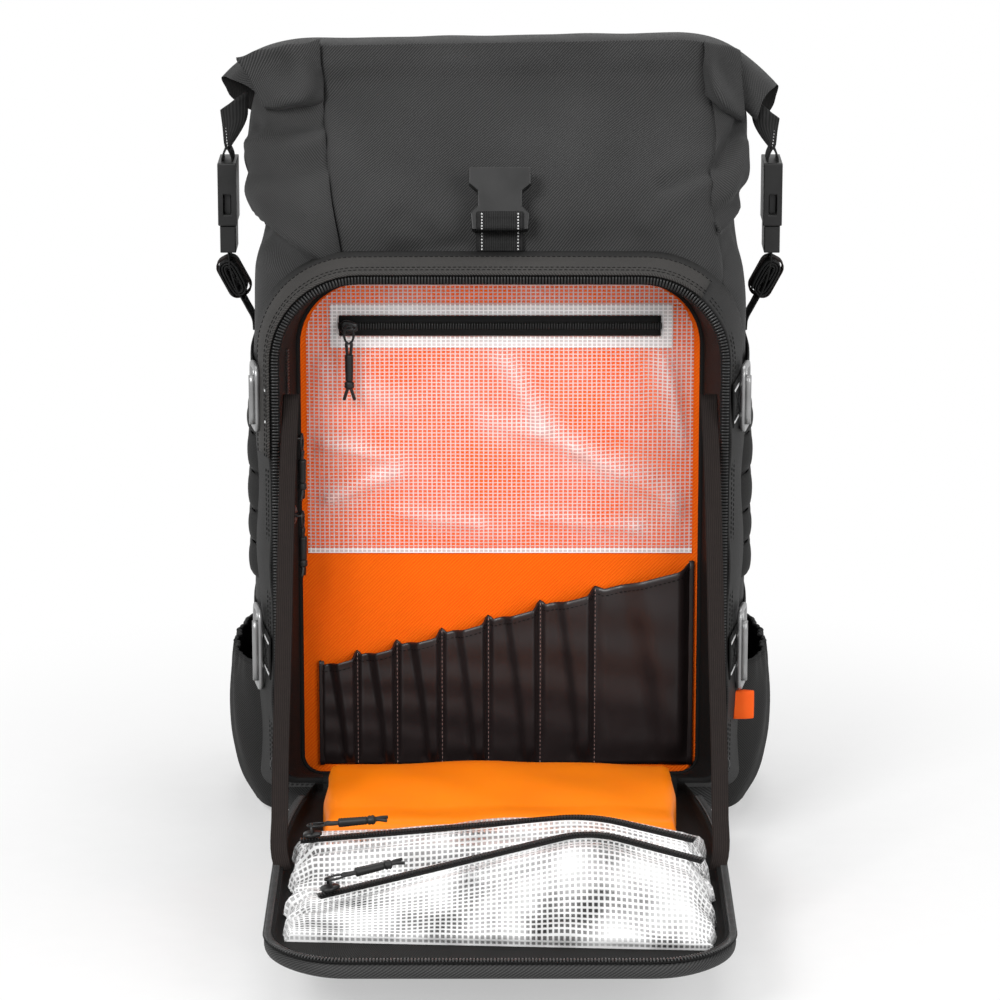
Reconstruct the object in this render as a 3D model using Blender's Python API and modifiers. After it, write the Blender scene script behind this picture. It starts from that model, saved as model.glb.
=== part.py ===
"""Roll-top backpack with a drop-down organiser front, built as separate pieces.

Metres, +Z up, the front towards -Y, the origin on the floor under the middle of the base.
"""

import math

import bmesh
import bpy
from mathutils import Matrix, Vector

# Fits
GAP = 0.0003                 # between pieces that touch
RUN = 0.0006                 # beside a piece that slides, turns or lifts off

# Cloth
BAG_WALL = 0.003             # padded wall of the bag
LINING = 0.002               # stiff lined wall of the organiser
VINYL = 0.0012               # clear or coated vinyl
WEB = 0.0018                 # thickness of webbing
WIDE_WEB = 0.030             # compression webbing
SLIM_WEB = 0.025             # buckle and shoulder webbing

# Main bag
BAG_WIDTH = 0.340
BAG_FRONT = 0.100            # reach of the front face from the origin
BAG_BACK = 0.092             # reach of the back face from the origin
BAG_CORNER = 0.045           # radius of the upright corners
BASE_TUCK = 0.010            # how far the base is drawn in at the back
BASE_RISE = 0.040            # height at which the bag reaches its full width
FLANK_SHARE = 0.825          # of the opening's top height, where the sides stop being straight
COLLAR_RISE = 0.108          # from the top of the opening to the rolled mouth
COLLAR_LEAN = 0.073          # how far front and back draw together at the mouth
COLLAR_SWELL = 0.004         # how far the collar stands wider than the bag
KNEE = 0.28                  # share of the collar's rise at which it starts to lean

# Roll at the top
ROLL_OVERHANG = 0.023        # tips beyond the sides of the bag
ROLL_FLAT = 0.240            # level stretch in the middle
ROLL_DROOP = 0.036           # how far the tips hang down
ROLL_DEPTH = 0.045
ROLL_HEIGHT = 0.029

# Front compartment
OPENING_WIDTH = 0.298
OPENING_HEIGHT = 0.345
OPENING_FLOOR = 0.055
OPENING_ROUND = 0.056        # radius of the upper corners
OPENING_ROUND_LOW = 0.014
COMPARTMENT_DEPTH = 0.065
RIM = 0.0045                 # width of the wall's front edge
FLARE = 0.0125               # how far the compartment widens towards the bag
WALL_INSET = 0.0115          # orange wall inside the opening at each side
WALL_HEAD = 0.013            # orange wall below the opening's top
WALL_DROP = 0.019            # orange wall below the opening's floor
FLOOR_CLEAR = 0.0008         # sloping floor of the compartment below the orange wall
FLOOR_THICK = 0.010          # compartment's floor at the bag
FLAP_OVERHANG = 0.004        # rain flap beyond the compartment's face
FLAP_THICK = 0.0016
FLAP_DEPTH = 0.040           # how far the rain flap reaches back

# Clear pocket and its zip
POCKET_MARGIN = 0.006        # clear pocket inside the orange wall's edge
POCKET_CORNER = 0.002        # radius of the clear pocket's lower corners
POCKET_ABOVE = 0.006         # clear pocket's hem above the tool strip
POCKET_ZIP_DROP = 0.031      # zip below the wall's top
POCKET_ZIP_INSET = 0.0285    # zip's ends inside the orange wall's sides
POCKET_TAPE = 0.014          # height of the zip tape
POCKET_TEETH = 0.005         # height of the row of teeth
TAPE = 0.001                 # thickness of zip tape
TEETH = 0.002                # thickness of a small row of teeth

# Strip of graded tool pockets
TOOL_SHARES = (0.096, 0.106, 0.119, 0.129, 0.140, 0.148, 0.262)    # widths from left to right
TOOL_MARGIN = 0.0095         # strip inside the orange wall's sides
TOOL_FOOT = 0.008            # strip above the wall's foot
TOOL_LOW = 0.075             # height of the strip at the narrow end
TOOL_HIGH = 0.146            # height of the strip at the wide end
TOOL_BULGE = 0.0105          # how far a pocket stands off the wall
TOOL_SHIFT = 0.005           # strip's middle to the right of the wall's middle

# Main zip and drop-down panel
ZIP_WIDTH = 0.006
ZIP_THICK = 0.003
TEETH_INSET = 0.00125        # middle of the teeth inside the middle of the rim
ZIP_FOOT = 0.006             # end of the teeth above the opening's floor
HINGE_DROP = 0.003           # hinge line below the opening's floor
HINGE_LENGTH = 0.240
PANEL_LIP = 0.0035           # panel's zip beyond its tray
PANEL_ZIP_WIDTH = 0.0075     # teeth and tape on the panel
PANEL_ZIP_START = 0.030      # end of the panel's zip from the hinge
PANEL_NARROW = 0.018         # how far each side draws in towards the hinge
PANEL_NARROW_RUN = 0.140     # length over which it draws in
PANEL_DEPTH = 0.0092         # tray below the zip plane
PANEL_WALL = 0.0022

# Pouches on the panel, in shares of its length where they lie along it
ORANGE_START = 0.041
ORANGE_END = 0.322
ORANGE_INSET = 0.0272        # inside the panel's sides
ORANGE_HEIGHT = 0.028
MESH_START = 0.342
MESH_END = 0.923
MESH_INSET = 0.0102          # inside the panel's sides
MESH_ROUND = 0.007           # inside the panel's round corners
POUCH_APART = 0.003          # between the two mesh pouches
POUCH_HEM = 0.006            # upright edge of a pouch
POUCH_LIP = 0.001            # least width between a pouch's edge and its zip
RIDGE = 0.016                # width of the flat under a pouch zip
POUCH_TEETH = 0.009
# Left end, bend and right end of each pouch zip: share of the pouch's half width, share of the
# panel's length, and height over the zip plane
REAR_ZIP_ACROSS = (-0.962, 0.436, 0.932)
REAR_ZIP_ALONG = (0.494, 0.517, 0.573)
REAR_ZIP_RISE = (0.018, 0.038, 0.028)
FRONT_ZIP_ACROSS = (-0.850, 0.429, 0.962)
FRONT_ZIP_ALONG = (0.766, 0.602, 0.672)
FRONT_ZIP_RISE = (0.014, 0.038, 0.026)
ZIP_BEND = 0.022             # length on each side of a bend that is rounded

# Zip sliders and pulls
BIG_SLIDER = (0.014, 0.013, 0.004)      # along the zip, across it, thickness
SMALL_SLIDER = (0.012, 0.010, 0.0035)
POUCH_SLIDER_STOP = 0.002    # parked slider from the end of a pouch zip
POCKET_SLIDER_STOP = 0.001
SLIDER_PARK = 0.013          # middle of a parked main slider above the opening's floor
BAIL_BAR = 0.0022
BAIL_LEG = 0.0016
PULL_EYE = 0.0036            # outer radius of the pull's eye
PULL_HOLE = 0.0019
PULL_WIDE = 0.0045
PULL_THICK = 0.0036
BIG_PULL = 0.040
SMALL_PULL = 0.048

# Retention straps beside the panel
STAY_WIDTH = 0.011
STAY_THICK = 0.0015
STAY_HIGH = 0.263            # upper end above the opening's floor
STAY_INSET = 0.0095          # upper end's middle inside the opening's side
STAY_DEEP = 0.015            # upper end behind the compartment's face
STAY_REACH = 0.503           # lower end from the hinge, as a share of the panel's length

# Side straps and hooks
UPPER_STRAP_SHARE = 0.7825   # of the opening's top height
LOWER_STRAP_SHARE = 0.3425
UPPER_HOOK = 0.046
LOWER_HOOK = 0.058
HOOK_LENGTH = 0.028
HOOK_THICK = 0.0035
HOOK_EDGE = 0.001            # rounding of the hook's edges
HOOK_START = 0.018           # hook from the strap's front end
STRAP_SETBACK = 0.006        # strap's front end behind the compartment's face
STRAP_BACK = 0.020           # strap's rear end behind the origin

# Side pockets
SIDE_POCKET_BELOW = 0.012    # pocket's rim below the lower strap
SIDE_POCKET_FOOT = 0.006
SIDE_POCKET_FRONT = 0.090    # reach towards the front
SIDE_POCKET_BACK = 0.046
SIDE_POCKET_BULGE = 0.0185

# Side-release buckles on the roll's straps
BUCKLE_INSET = 0.0045        # middle of the buckle inside the roll's tip
SOCKET_THICK = 0.013
SOCKET_WIDE = 0.036
SOCKET_LONG = 0.044
SOCKET_DROP = 0.024          # socket below the roll's tip
CAVITY_THICK = 0.0056
CAVITY_WIDE = 0.028
CAVITY_LONG = 0.034
WINDOW_LOW = 0.008
WINDOW_LONG = 0.014
PLUG_THICK = 0.011
PLUG_WIDE = 0.030
PLUG_LONG = 0.019
TONGUE_WIDE = 0.007
TONGUE_LONG = 0.028
PRONG_WIDE = 0.005
PRONG_LONG = 0.024
KEEPER_THICK = 0.009         # rolled-up webbing tail
KEEPER_LONG = 0.026
KEEPER_NECK = 0.004          # webbing above the rolled-up tail
KEEPER_FOOT = 0.006          # webbing below it
TAIL_ABOVE = 0.005           # webbing's sewn end above the upper strap

# Middle buckle on the front face
FRONT_SOCKET_WIDE = 0.042
FRONT_SOCKET_WAIST = 0.030
FRONT_SOCKET_LONG = 0.042
FRONT_SOCKET_THICK = 0.0135
FRONT_CAVITY_DEEP = 0.026
FRONT_CAVITY_THICK = 0.008
FRONT_CAVITY_WALL = 0.003    # wall beside the slot at the waist
FRONT_SOCKET_TAPER = 0.002   # how far the socket's foot draws in
FRONT_WEB_WIDTH = 0.032
FACE_LEAN = 20               # degrees that the socket leans back from upright

# Back
PAD_WIDTH = 0.190
PAD_LOW = 0.070
PAD_HIGH_SHARE = 0.9125      # of the opening's top height
PAD_THICK = 0.021
PAD_EDGE = 0.002             # least thickness at the rim
PAD_CHANNEL = 0.007          # depth of a sewn channel
SHEET_MARGIN = 0.005         # sheet inside the flat part of the back at each side
SHEET_LOW = 0.045
SHEET_BELOW = 0.008          # sheet below the top of the straight sides
SHEET_THICK = 0.0035
STRAP_PAD_WIDE = 0.058
STRAP_PAD_THICK = 0.012
# Route of a shoulder strap: out from the middle as a share of half the bag's width, height as a
# share of the opening's top height, and distance behind the back face
SHOULDER_ACROSS = (0.4353, 0.4353, 0.4353, 0.4412, 0.4529, 0.4765, 0.5176, 0.5706, 0.6176, 0.6353)
SHOULDER_RISE = (0.945, 1.020, 1.078, 1.115, 1.088, 0.993, 0.825, 0.625, 0.463, 0.375)
SHOULDER_OUT = (0.0, 0.0002, 0.0090, 0.0290, 0.0550, 0.0690, 0.0710, 0.0610, 0.0450, 0.0360)
STRAP_TAPER = 0.62           # width of the strap's lower end, as a share
SHOULDER_WEB_LEAD = 0.008    # straight webbing below the strap's end
SHOULDER_WEB_BEND = (0.004, -0.012, -0.042)    # bend from the strap's end: out, back, up
SHOULDER_WEB_SPREAD = 0.006  # webbing's foot out from the strap's end
SHOULDER_WEB_SEAT = 0.018    # sewn length at the webbing's foot
HANDLE_SPAN = 0.060
HANDLE_DROP = 0.034
HANDLE_ROUND = 0.0045
HANDLE_BOW = 0.002           # how far the loop widens below its ends
HANDLE_SHARE = 1.09          # of the opening's top height
HANDLE_OUT = 0.017           # grip behind the back face

# Worked out from the sizes above
HALF = BAG_WIDTH / 2
OPEN_HALF = OPENING_WIDTH / 2
OPENING_TOP = OPENING_FLOOR + OPENING_HEIGHT
MOUTH = OPENING_TOP + COLLAR_RISE
FLANK_TOP = FLANK_SHARE * OPENING_TOP
UPPER_STRAP = UPPER_STRAP_SHARE * OPENING_TOP
LOWER_STRAP = LOWER_STRAP_SHARE * OPENING_TOP
SIDE_POCKET_TOP = LOWER_STRAP - WIDE_WEB / 2 - SIDE_POCKET_BELOW
PAD_HIGH = PAD_HIGH_SHARE * OPENING_TOP
SHEET_HIGH = FLANK_TOP - SHEET_BELOW
HANDLE_HIGH = HANDLE_SHARE * OPENING_TOP
ROLL_HALF = HALF + ROLL_OVERHANG
BUCKLE_OUT = ROLL_HALF - BUCKLE_INSET
FACE = -(BAG_FRONT + GAP + COMPARTMENT_DEPTH)
TEETH_BACK = FACE - GAP
TEETH_FACE = TEETH_BACK - ZIP_THICK
HINGE_Y = TEETH_FACE - GAP
HINGE_Z = OPENING_FLOOR - HINGE_DROP
WALL_BACK = -(BAG_FRONT + GAP)
WALL_FACE = WALL_BACK - LINING
WALL_HALF = OPEN_HALF - WALL_INSET
WALL_LOW = OPENING_FLOOR - WALL_DROP
WALL_TOP = OPENING_TOP - WALL_HEAD
WALL_ROUND = OPENING_ROUND - WALL_INSET
ZIP_MIDDLE = OPEN_HALF + RIM / 2 - TEETH_INSET
PANEL_HALF = ZIP_MIDDLE - ZIP_WIDTH / 2 - GAP - PANEL_LIP
PANEL_LENGTH = OPENING_TOP + PANEL_HALF - OPEN_HALF - HINGE_Z
PANEL_ROUND = OPENING_ROUND + PANEL_HALF - OPEN_HALF
MESH_HALF = PANEL_HALF - MESH_INSET
TOOL_WIDTH = 2 * (WALL_HALF - TOOL_MARGIN)
POCKET_ZIP_HALF = WALL_HALF - POCKET_ZIP_INSET
COLLAR_FRONT = BAG_FRONT - COLLAR_LEAN
COLLAR_BACK = BAG_BACK - COLLAR_LEAN
MOUTH_MIDDLE = (COLLAR_BACK - COLLAR_FRONT) / 2
SIDES = {"left": -1, "right": 1}
CORNER_STEPS = 5
TURNS = 12                   # points round a small circle

X = Vector((1, 0, 0))
Y = Vector((0, 1, 0))
Z = Vector((0, 0, 1))

for old in list(bpy.data.objects):
    bpy.data.objects.remove(old, do_unlink=True)

PARTS = bpy.data.collections.new("roll_top_backpack")
CUTTERS = bpy.data.collections.new("roll_top_backpack_cutters")
bpy.context.scene.collection.children.link(PARTS)
bpy.context.scene.collection.children.link(CUTTERS)


def finish(name, colour, roughness, metallic=0.0):
    """Plain material of one colour."""
    material = bpy.data.materials.new(name)
    material.use_nodes = True
    shader = material.node_tree.nodes["Principled BSDF"]
    shader.inputs["Base Color"].default_value = (*colour, 1.0)
    shader.inputs["Roughness"].default_value = roughness
    shader.inputs["Metallic"].default_value = metallic
    return material


BALLISTIC = finish("ballistic_nylon", (0.030, 0.030, 0.031), 0.75)
GUSSET = finish("gusset_nylon", (0.022, 0.022, 0.023), 0.80)
ORANGE = finish("orange_lining", (0.95, 0.16, 0.01), 0.70)
ORANGE_VINYL = finish("orange_vinyl", (0.95, 0.18, 0.01), 0.40)
CLEAR = finish("clear_scrim_vinyl", (0.90, 0.88, 0.86), 0.20)
TOOL_VINYL = finish("coated_vinyl", (0.020, 0.014, 0.013), 0.35)
TEETH_BLACK = finish("zip_teeth", (0.012, 0.012, 0.013), 0.35)
SLIDER_METAL = finish("slider_metal", (0.020, 0.020, 0.022), 0.35, 0.8)
CORD_BLACK = finish("pull_cord", (0.010, 0.010, 0.010), 0.60)
WEBBING = finish("webbing", (0.018, 0.018, 0.018), 0.80)
STAY_TAPE = finish("brown_tape", (0.050, 0.040, 0.036), 0.75)
BUCKLE = finish("buckle_plastic", (0.018, 0.018, 0.019), 0.45)
HOOK_METAL = finish("hook_metal", (0.55, 0.56, 0.57), 0.35, 0.9)
PAD_MESH = finish("spacer_mesh", (0.025, 0.025, 0.026), 0.85)
SHEET_PLASTIC = finish("frame_plastic", (0.05, 0.05, 0.05), 0.60)
WHITE_MESH = finish("white_mesh", (0.85, 0.86, 0.86), 0.45)


def pivot(name, place):
    """Empty on a joint's axis, to which the pieces of a moving body are parented."""
    empty = bpy.data.objects.new(name + "_pivot", None)
    empty.location = place
    PARTS.objects.link(empty)
    return empty


def keep(obj, material, carrier=None):
    """Give a piece its material, its place among the parts and the joint that carries it."""
    obj.data.materials.append(material)
    PARTS.objects.link(obj)
    if carrier:
        obj.parent = carrier
        obj.matrix_parent_inverse = Matrix.Translation(carrier.location).inverted()
    return obj


def mesh_piece(name, points, faces, material, carrier=None):
    """Object from points and faces."""
    mesh = bpy.data.meshes.new(name)
    mesh.from_pydata([tuple(point) for point in points], [], faces)
    mesh.update()
    return keep(bpy.data.objects.new(name, mesh), material, carrier)


def face_out(obj):
    """Turn the faces of a closed mesh outwards."""
    shape = bmesh.new()
    shape.from_mesh(obj.data)
    bmesh.ops.recalc_face_normals(shape, faces=shape.faces)
    shape.to_mesh(obj.data)
    shape.free()
    return obj


def thicken(obj, thickness, side):
    """Give an open surface a wall, inwards for side -1 and outwards for side 1."""
    wall = obj.modifiers.new("wall", "SOLIDIFY")
    wall.thickness = thickness
    wall.offset = side
    wall.use_even_offset = True
    return obj


def soften(obj, width, segments=1):
    """Round the edges of a hard piece."""
    edge = obj.modifiers.new("edge", "BEVEL")
    edge.width = width
    edge.segments = segments
    edge.limit_method = "ANGLE"
    return obj


def axes(u, v, origin):
    """Frame whose X and Y are u and v, with Z square to both."""
    n = u.cross(v)
    frame = Matrix((u, v, n)).transposed().to_4x4()
    frame.translation = origin
    return frame


def box(name, size, frame, material, carrier=None):
    """Box of a size about the origin of a frame."""
    shape = bmesh.new()
    bmesh.ops.create_cube(shape, size=1.0)
    bmesh.ops.scale(shape, vec=size, verts=shape.verts)
    mesh = bpy.data.meshes.new(name)
    shape.to_mesh(mesh)
    shape.free()
    obj = keep(bpy.data.objects.new(name, mesh), material, carrier)
    obj.matrix_basis = frame
    return obj


def flat(name, loops, thickness, frame, material, carrier=None):
    """Flat outline, with holes, that rises from the frame's XY plane by its thickness."""
    curve = bpy.data.curves.new(name, "CURVE")
    curve.dimensions = "2D"
    curve.fill_mode = "BOTH"
    curve.extrude = thickness / 2
    for loop in loops:
        spline = curve.splines.new("POLY")
        spline.points.add(len(loop) - 1)
        for point, (a, b) in zip(spline.points, loop):
            point.co = (a, b, 0, 1)
        spline.use_cyclic_u = True
    obj = keep(bpy.data.objects.new(name, curve), material, carrier)
    obj.matrix_basis = frame @ Matrix.Translation((0, 0, thickness / 2))
    return obj


def as_mesh(obj):
    """Turn a curve piece into a welded mesh, so that it can be cut or joined."""
    bpy.context.view_layer.update()
    graph = bpy.context.evaluated_depsgraph_get()
    mesh = bpy.data.meshes.new_from_object(obj.evaluated_get(graph))
    shape = bmesh.new()
    shape.from_mesh(mesh)
    bmesh.ops.remove_doubles(shape, verts=shape.verts, dist=0.00001)
    shape.to_mesh(mesh)
    shape.free()
    name = obj.name
    solid = bpy.data.objects.new(name + "_solid", mesh)
    carrier = obj.parent
    PARTS.objects.link(solid)
    if carrier:
        solid.parent = carrier
        solid.matrix_parent_inverse = Matrix.Translation(carrier.location).inverted()
    solid.matrix_basis = obj.matrix_basis
    bpy.data.objects.remove(obj, do_unlink=True)
    solid.name = name
    return solid


def combine(target, tool, operation):
    """Cut a tool out of a piece, or join it on."""
    PARTS.objects.unlink(tool)
    CUTTERS.objects.link(tool)
    tool.hide_render = True
    tool.display_type = "WIRE"
    step = target.modifiers.new(tool.name, "BOOLEAN")
    step.operation = operation
    step.object = tool
    return target


def rounded(half, low, high, top_round, low_round, parts=1):
    """Rectangle with round corners, counter-clockwise from its lower right corner.

    parts is how many pieces the straight top and bottom edges are split into.
    """
    arcs = (
        (half - low_round, low + low_round, low_round, -90),
        (half - top_round, high - top_round, top_round, 0),
        (top_round - half, high - top_round, top_round, 90),
        (low_round - half, low + low_round, low_round, 180),
    )
    points = []
    for index, (a, b, radius, start) in enumerate(arcs):
        for step in range(CORNER_STEPS + 1):
            angle = math.radians(start + 90 * step / CORNER_STEPS)
            points.append((a + radius * math.cos(angle), b + radius * math.sin(angle)))
        if index % 2:
            nearer = points[-1]
            further = -nearer[0]
            for part in range(1, parts):
                points.append((nearer[0] + (further - nearer[0]) * part / parts, nearer[1]))
    return points


def swell(share, power):
    """Bulge across a pocket: 0 at both sides and 1 in the middle."""
    return max(math.sin(math.pi * share), 0.0) ** power if 0 < share < 1 else 0.0


def circle(a, b, radius, turns=TURNS):
    """Round outline about a point."""
    steps = (2 * math.pi * turn / turns for turn in range(turns))
    return [(a + radius * math.cos(step), b + radius * math.sin(step)) for step in steps]


def loft(name, rings, material, carrier=None, caps=True, ends_meet=False):
    """Skin through rings of equal length, with its ends capped or joined to each other."""
    count = len(rings[0])
    points = [point for ring in rings for point in ring]
    faces = []
    spans = len(rings) if ends_meet else len(rings) - 1
    for span in range(spans):
        near = span * count
        far = (span + 1) % len(rings) * count
        for index in range(count):
            after = (index + 1) % count
            faces.append((near + index, near + after, far + after, far + index))
    if caps:
        last = len(points) - count
        faces.append(tuple(reversed(range(count))))
        faces.append(tuple(range(last, last + count)))
    obj = mesh_piece(name, points, faces, material, carrier)
    return face_out(obj) if caps or ends_meet else obj


def grid(name, rows, material, carrier=None, flip=False):
    """Open surface through rows of points."""
    count = len(rows[0])
    points = [point for row in rows for point in row]
    faces = []
    for row in range(len(rows) - 1):
        for index in range(count - 1):
            near = row * count + index
            face = (near, near + 1, near + 1 + count, near + count)
            faces.append(face[::-1] if flip else face)
    return mesh_piece(name, points, faces, material, carrier)


def ribbon(name, path, across, width, thickness, out, material, carrier=None):
    """Webbing whose inner face follows a path, with its thickness towards out."""
    path = [Vector(point) for point in path]
    side = across.normalized() * width / 2
    rows = [[point - side, point + side] for point in path]
    along = path[1] - path[0]
    flip = side.cross(along).dot(out) < 0
    return thicken(grid(name, rows, material, carrier, flip), thickness, 1)


def bar(name, stations, across, material, carrier=None):
    """Flat bar through stations of middle, width and thickness, its width along across."""
    middles = [Vector(station[0]) for station in stations]
    rings = []
    for index, (_, width, thick) in enumerate(stations):
        before = middles[max(index - 1, 0)]
        after = middles[min(index + 1, len(middles) - 1)]
        way = (after - before).normalized()
        square = (across - way * across.dot(way)).normalized()
        side = square * width / 2
        rise = way.cross(square) * thick / 2
        here = middles[index]
        near = here - side
        far = here + side
        rings.append([near - rise, far - rise, far + rise, near + rise])
    return loft(name, rings, material, carrier)


def opening_outline(grow, drop=0.0):
    """Outline of the front opening, grown all round and lowered at its foot."""
    return rounded(
        OPEN_HALF + grow,
        OPENING_FLOOR - grow - drop,
        OPENING_TOP + grow,
        OPENING_ROUND + grow,
        OPENING_ROUND_LOW,
    )


def arch(half, foot, top, radius):
    """Upright arch from its right foot over to its left foot."""
    points = [(half, foot)]
    for a, start in ((half - radius, 0), (radius - half, 90)):
        for step in range(CORNER_STEPS + 1):
            angle = math.radians(start + 90 * step / CORNER_STEPS)
            points.append((a + radius * math.cos(angle), top - radius + radius * math.sin(angle)))
    points.append((-half, foot))
    return points


def upright(y):
    """Frame whose outlines stand across the bag at y and thicken towards the front."""
    return axes(X, Z, Vector((0, y, 0)))


def droop(x):
    """How far the rolled mouth hangs down at x."""
    reach = ROLL_HALF - ROLL_FLAT / 2
    share = max(0.0, abs(x) - ROLL_FLAT / 2) / reach
    return ROLL_DROOP * share ** 2


def roll_underside(x):
    """Height of the roll's lower face at x."""
    return MOUTH + RUN - droop(x)


def bag_stations():
    """Height, half width, front reach and back reach of the bag from base to mouth."""
    shares = ((KNEE, 0.11, -1.5), (0.60, 0.44, 1.0), (0.88, 0.82, 0.5), (1.0, 1.0, -0.5))
    low = (
        (0.0, HALF - 1.6 * BASE_TUCK, BAG_FRONT - 0.2 * BASE_TUCK, BAG_BACK - BASE_TUCK),
        (0.3 * BASE_RISE, HALF - 0.4 * BASE_TUCK, BAG_FRONT, BAG_BACK - 0.3 * BASE_TUCK),
        (BASE_RISE, HALF, BAG_FRONT, BAG_BACK),
        (FLANK_TOP, HALF, BAG_FRONT, BAG_BACK),
        (OPENING_TOP, HALF - 1.25 * COLLAR_SWELL, BAG_FRONT, BAG_BACK - COLLAR_SWELL),
    )
    high = tuple(
        (
            OPENING_TOP + COLLAR_RISE * rise,
            HALF + COLLAR_SWELL * bulge,
            BAG_FRONT - COLLAR_LEAN * draw,
            BAG_BACK - COLLAR_LEAN * draw,
        )
        for rise, draw, bulge in shares
    )
    return low + high


def bag_reach(z, index):
    """Reach of the bag at a height: index 2 for the front face, 3 for the back face."""
    stations = bag_stations()
    for below, above in zip(stations, stations[1:]):
        if below[0] <= z <= above[0]:
            share = (z - below[0]) / (above[0] - below[0])
            return below[index] + (above[index] - below[index]) * share
    return stations[-1][index]


def flank(y):
    """Distance from the middle to the bag's side at y."""
    over = max(BAG_CORNER - BAG_FRONT - y, y - BAG_BACK + BAG_CORNER, 0.0)
    return HALF - BAG_CORNER + math.sqrt(max(BAG_CORNER ** 2 - over ** 2, 0.0))


def main_bag():
    """Open-topped bag: a loft of round-cornered sections with a closed base."""
    rings = []
    for z, half, front, back in bag_stations():
        corner = min(BAG_CORNER, 0.45 * (front + back))
        lift = max(0.0, (z - OPENING_TOP) / COLLAR_RISE) ** 2
        outline = rounded(half, -front, back, corner, corner, 8)
        rings.append([(x, y, z - lift * droop(x)) for x, y in outline])
    shell = loft("main_bag", rings, BALLISTIC, caps=False)
    shape = bmesh.new()
    shape.from_mesh(shell.data)
    shape.verts.ensure_lookup_table()
    shape.faces.new([shape.verts[index] for index in reversed(range(len(rings[0])))])
    shape.to_mesh(shell.data)
    shape.free()
    thicken(shell, BAG_WALL, -1)


def roll_top(carrier):
    """Rolled mouth: level in the middle, with tips that hang down."""
    reach = ROLL_HALF
    level = ROLL_FLAT / 2
    steps = 6
    outer = [level + (reach - level) * step / steps for step in range(steps + 1)]
    places = [-x for x in reversed(outer)] + [-level / 2, 0.0, level / 2] + outer
    rings = []
    for x in places:
        share = max(0.0, abs(x) - level) / (reach - level)
        depth = ROLL_DEPTH * (1 - 0.25 * share ** 3)
        height = ROLL_HEIGHT * (1 - 0.12 * share ** 3)
        low = roll_underside(x)
        ring = rounded(depth / 2, low, low + height, 0.42 * height, 0.30 * height)
        rings.append([(x, MOUTH_MIDDLE + y, z) for y, z in ring])
    loft("roll_top", rings, BALLISTIC, carrier)


def front_compartment():
    """Lined wall round the front compartment, thin at the zip and thick at the bag."""
    wall_ring = [(x, WALL_BACK, z) for x, z in wall_outline(GAP, FLOOR_CLEAR)]
    deep = FLARE + RIM
    outer = opening_outline(deep, WALL_DROP - deep + FLOOR_THICK)
    rings = [
        [(x, WALL_BACK, z) for x, z in outer],
        [(x, FACE, z) for x, z in opening_outline(RIM)],
        [(x, FACE, z) for x, z in opening_outline(0.0)],
        wall_ring,
    ]
    loft("front_compartment", rings, GUSSET, caps=False, ends_meet=True)


def wall_outline(grow, sink=0.0):
    """Outline of the orange back wall, grown all round and lowered at its foot."""
    return rounded(
        WALL_HALF + grow,
        WALL_LOW - grow - sink,
        WALL_TOP + grow,
        WALL_ROUND + grow,
        OPENING_ROUND_LOW + grow,
    )


def rain_flap():
    """Arched flap that lies on the compartment and shades the zip."""
    near = opening_outline(RIM + GAP)
    far = opening_outline(RIM + FLARE + GAP, WALL_DROP - FLARE - RIM + FLOOR_THICK)
    first = CORNER_STEPS + 3
    last = 3 * (CORNER_STEPS + 1) - 2
    reach = FLAP_DEPTH / COMPARTMENT_DEPTH
    front = [Vector((x, FACE, z)) for x, z in near[first:last]]
    bag = [Vector((x, WALL_BACK, z)) for x, z in far[first:last]]
    back = [a.lerp(b, reach) for a, b in zip(front, bag)]
    lip = [a - Y * FLAP_OVERHANG for a in front]
    thicken(grid("rain_flap", [lip, front, back], BALLISTIC), FLAP_THICK, -1)


def organiser_wall():
    """Orange wall, clear pocket and the strip of graded tool pockets."""
    flat("orange_wall", [wall_outline(0.0)], LINING, upright(WALL_BACK - GAP), ORANGE)
    hem = WALL_LOW + TOOL_FOOT + TOOL_HIGH + POCKET_ABOVE
    top = WALL_TOP - POCKET_MARGIN
    sheet = rounded(WALL_HALF - POCKET_MARGIN, hem, top, WALL_ROUND - POCKET_MARGIN, POCKET_CORNER)
    flat("clear_pocket", [sheet], VINYL, upright(WALL_FACE - 2 * GAP), CLEAR)

    foot = WALL_LOW + TOOL_FOOT
    columns = 6
    heights = ((0.0, 0.0), (0.10, 0.55), (0.25, 0.90), (0.60, 1.0), (1.0, 1.0))
    rows = []
    for rise, fullness in heights:
        row = []
        left = 0.0
        for pocket, width in enumerate(TOOL_SHARES):
            last = pocket == len(TOOL_SHARES) - 1
            for column in range(columns + last):
                share = column / columns
                place = (left + width * share) / sum(TOOL_SHARES)
                tall = TOOL_LOW + (TOOL_HIGH - TOOL_LOW) * place
                stand = TOOL_BULGE * fullness * swell(share, 0.6)
                x = TOOL_SHIFT + TOOL_WIDTH * (place - 0.5)
                row.append((x, WALL_FACE - 2 * GAP - stand, foot + rise * tall))
            left += width
        rows.append(row)
    thicken(grid("tool_strip", rows, TOOL_VINYL), VINYL, 1)


def pocket_zip():
    """Zip of the clear pocket: tape with a raised row of teeth."""
    z = WALL_TOP - POCKET_ZIP_DROP
    back = WALL_FACE - 3 * GAP - VINYL
    profile = [
        (-POCKET_TAPE / 2, 0),
        (POCKET_TAPE / 2, 0),
        (POCKET_TAPE / 2, TAPE),
        (POCKET_TEETH / 2, TAPE),
        (POCKET_TEETH / 2, TAPE + TEETH),
        (-POCKET_TEETH / 2, TAPE + TEETH),
        (-POCKET_TEETH / 2, TAPE),
        (-POCKET_TAPE / 2, TAPE),
    ]
    start = Vector((-POCKET_ZIP_HALF, back, z))
    flat("pocket_zip", [profile], 2 * POCKET_ZIP_HALF, axes(Z, -Y, start), TEETH_BLACK)
    return Vector((start.x, back - TAPE - TEETH, z))


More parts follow.
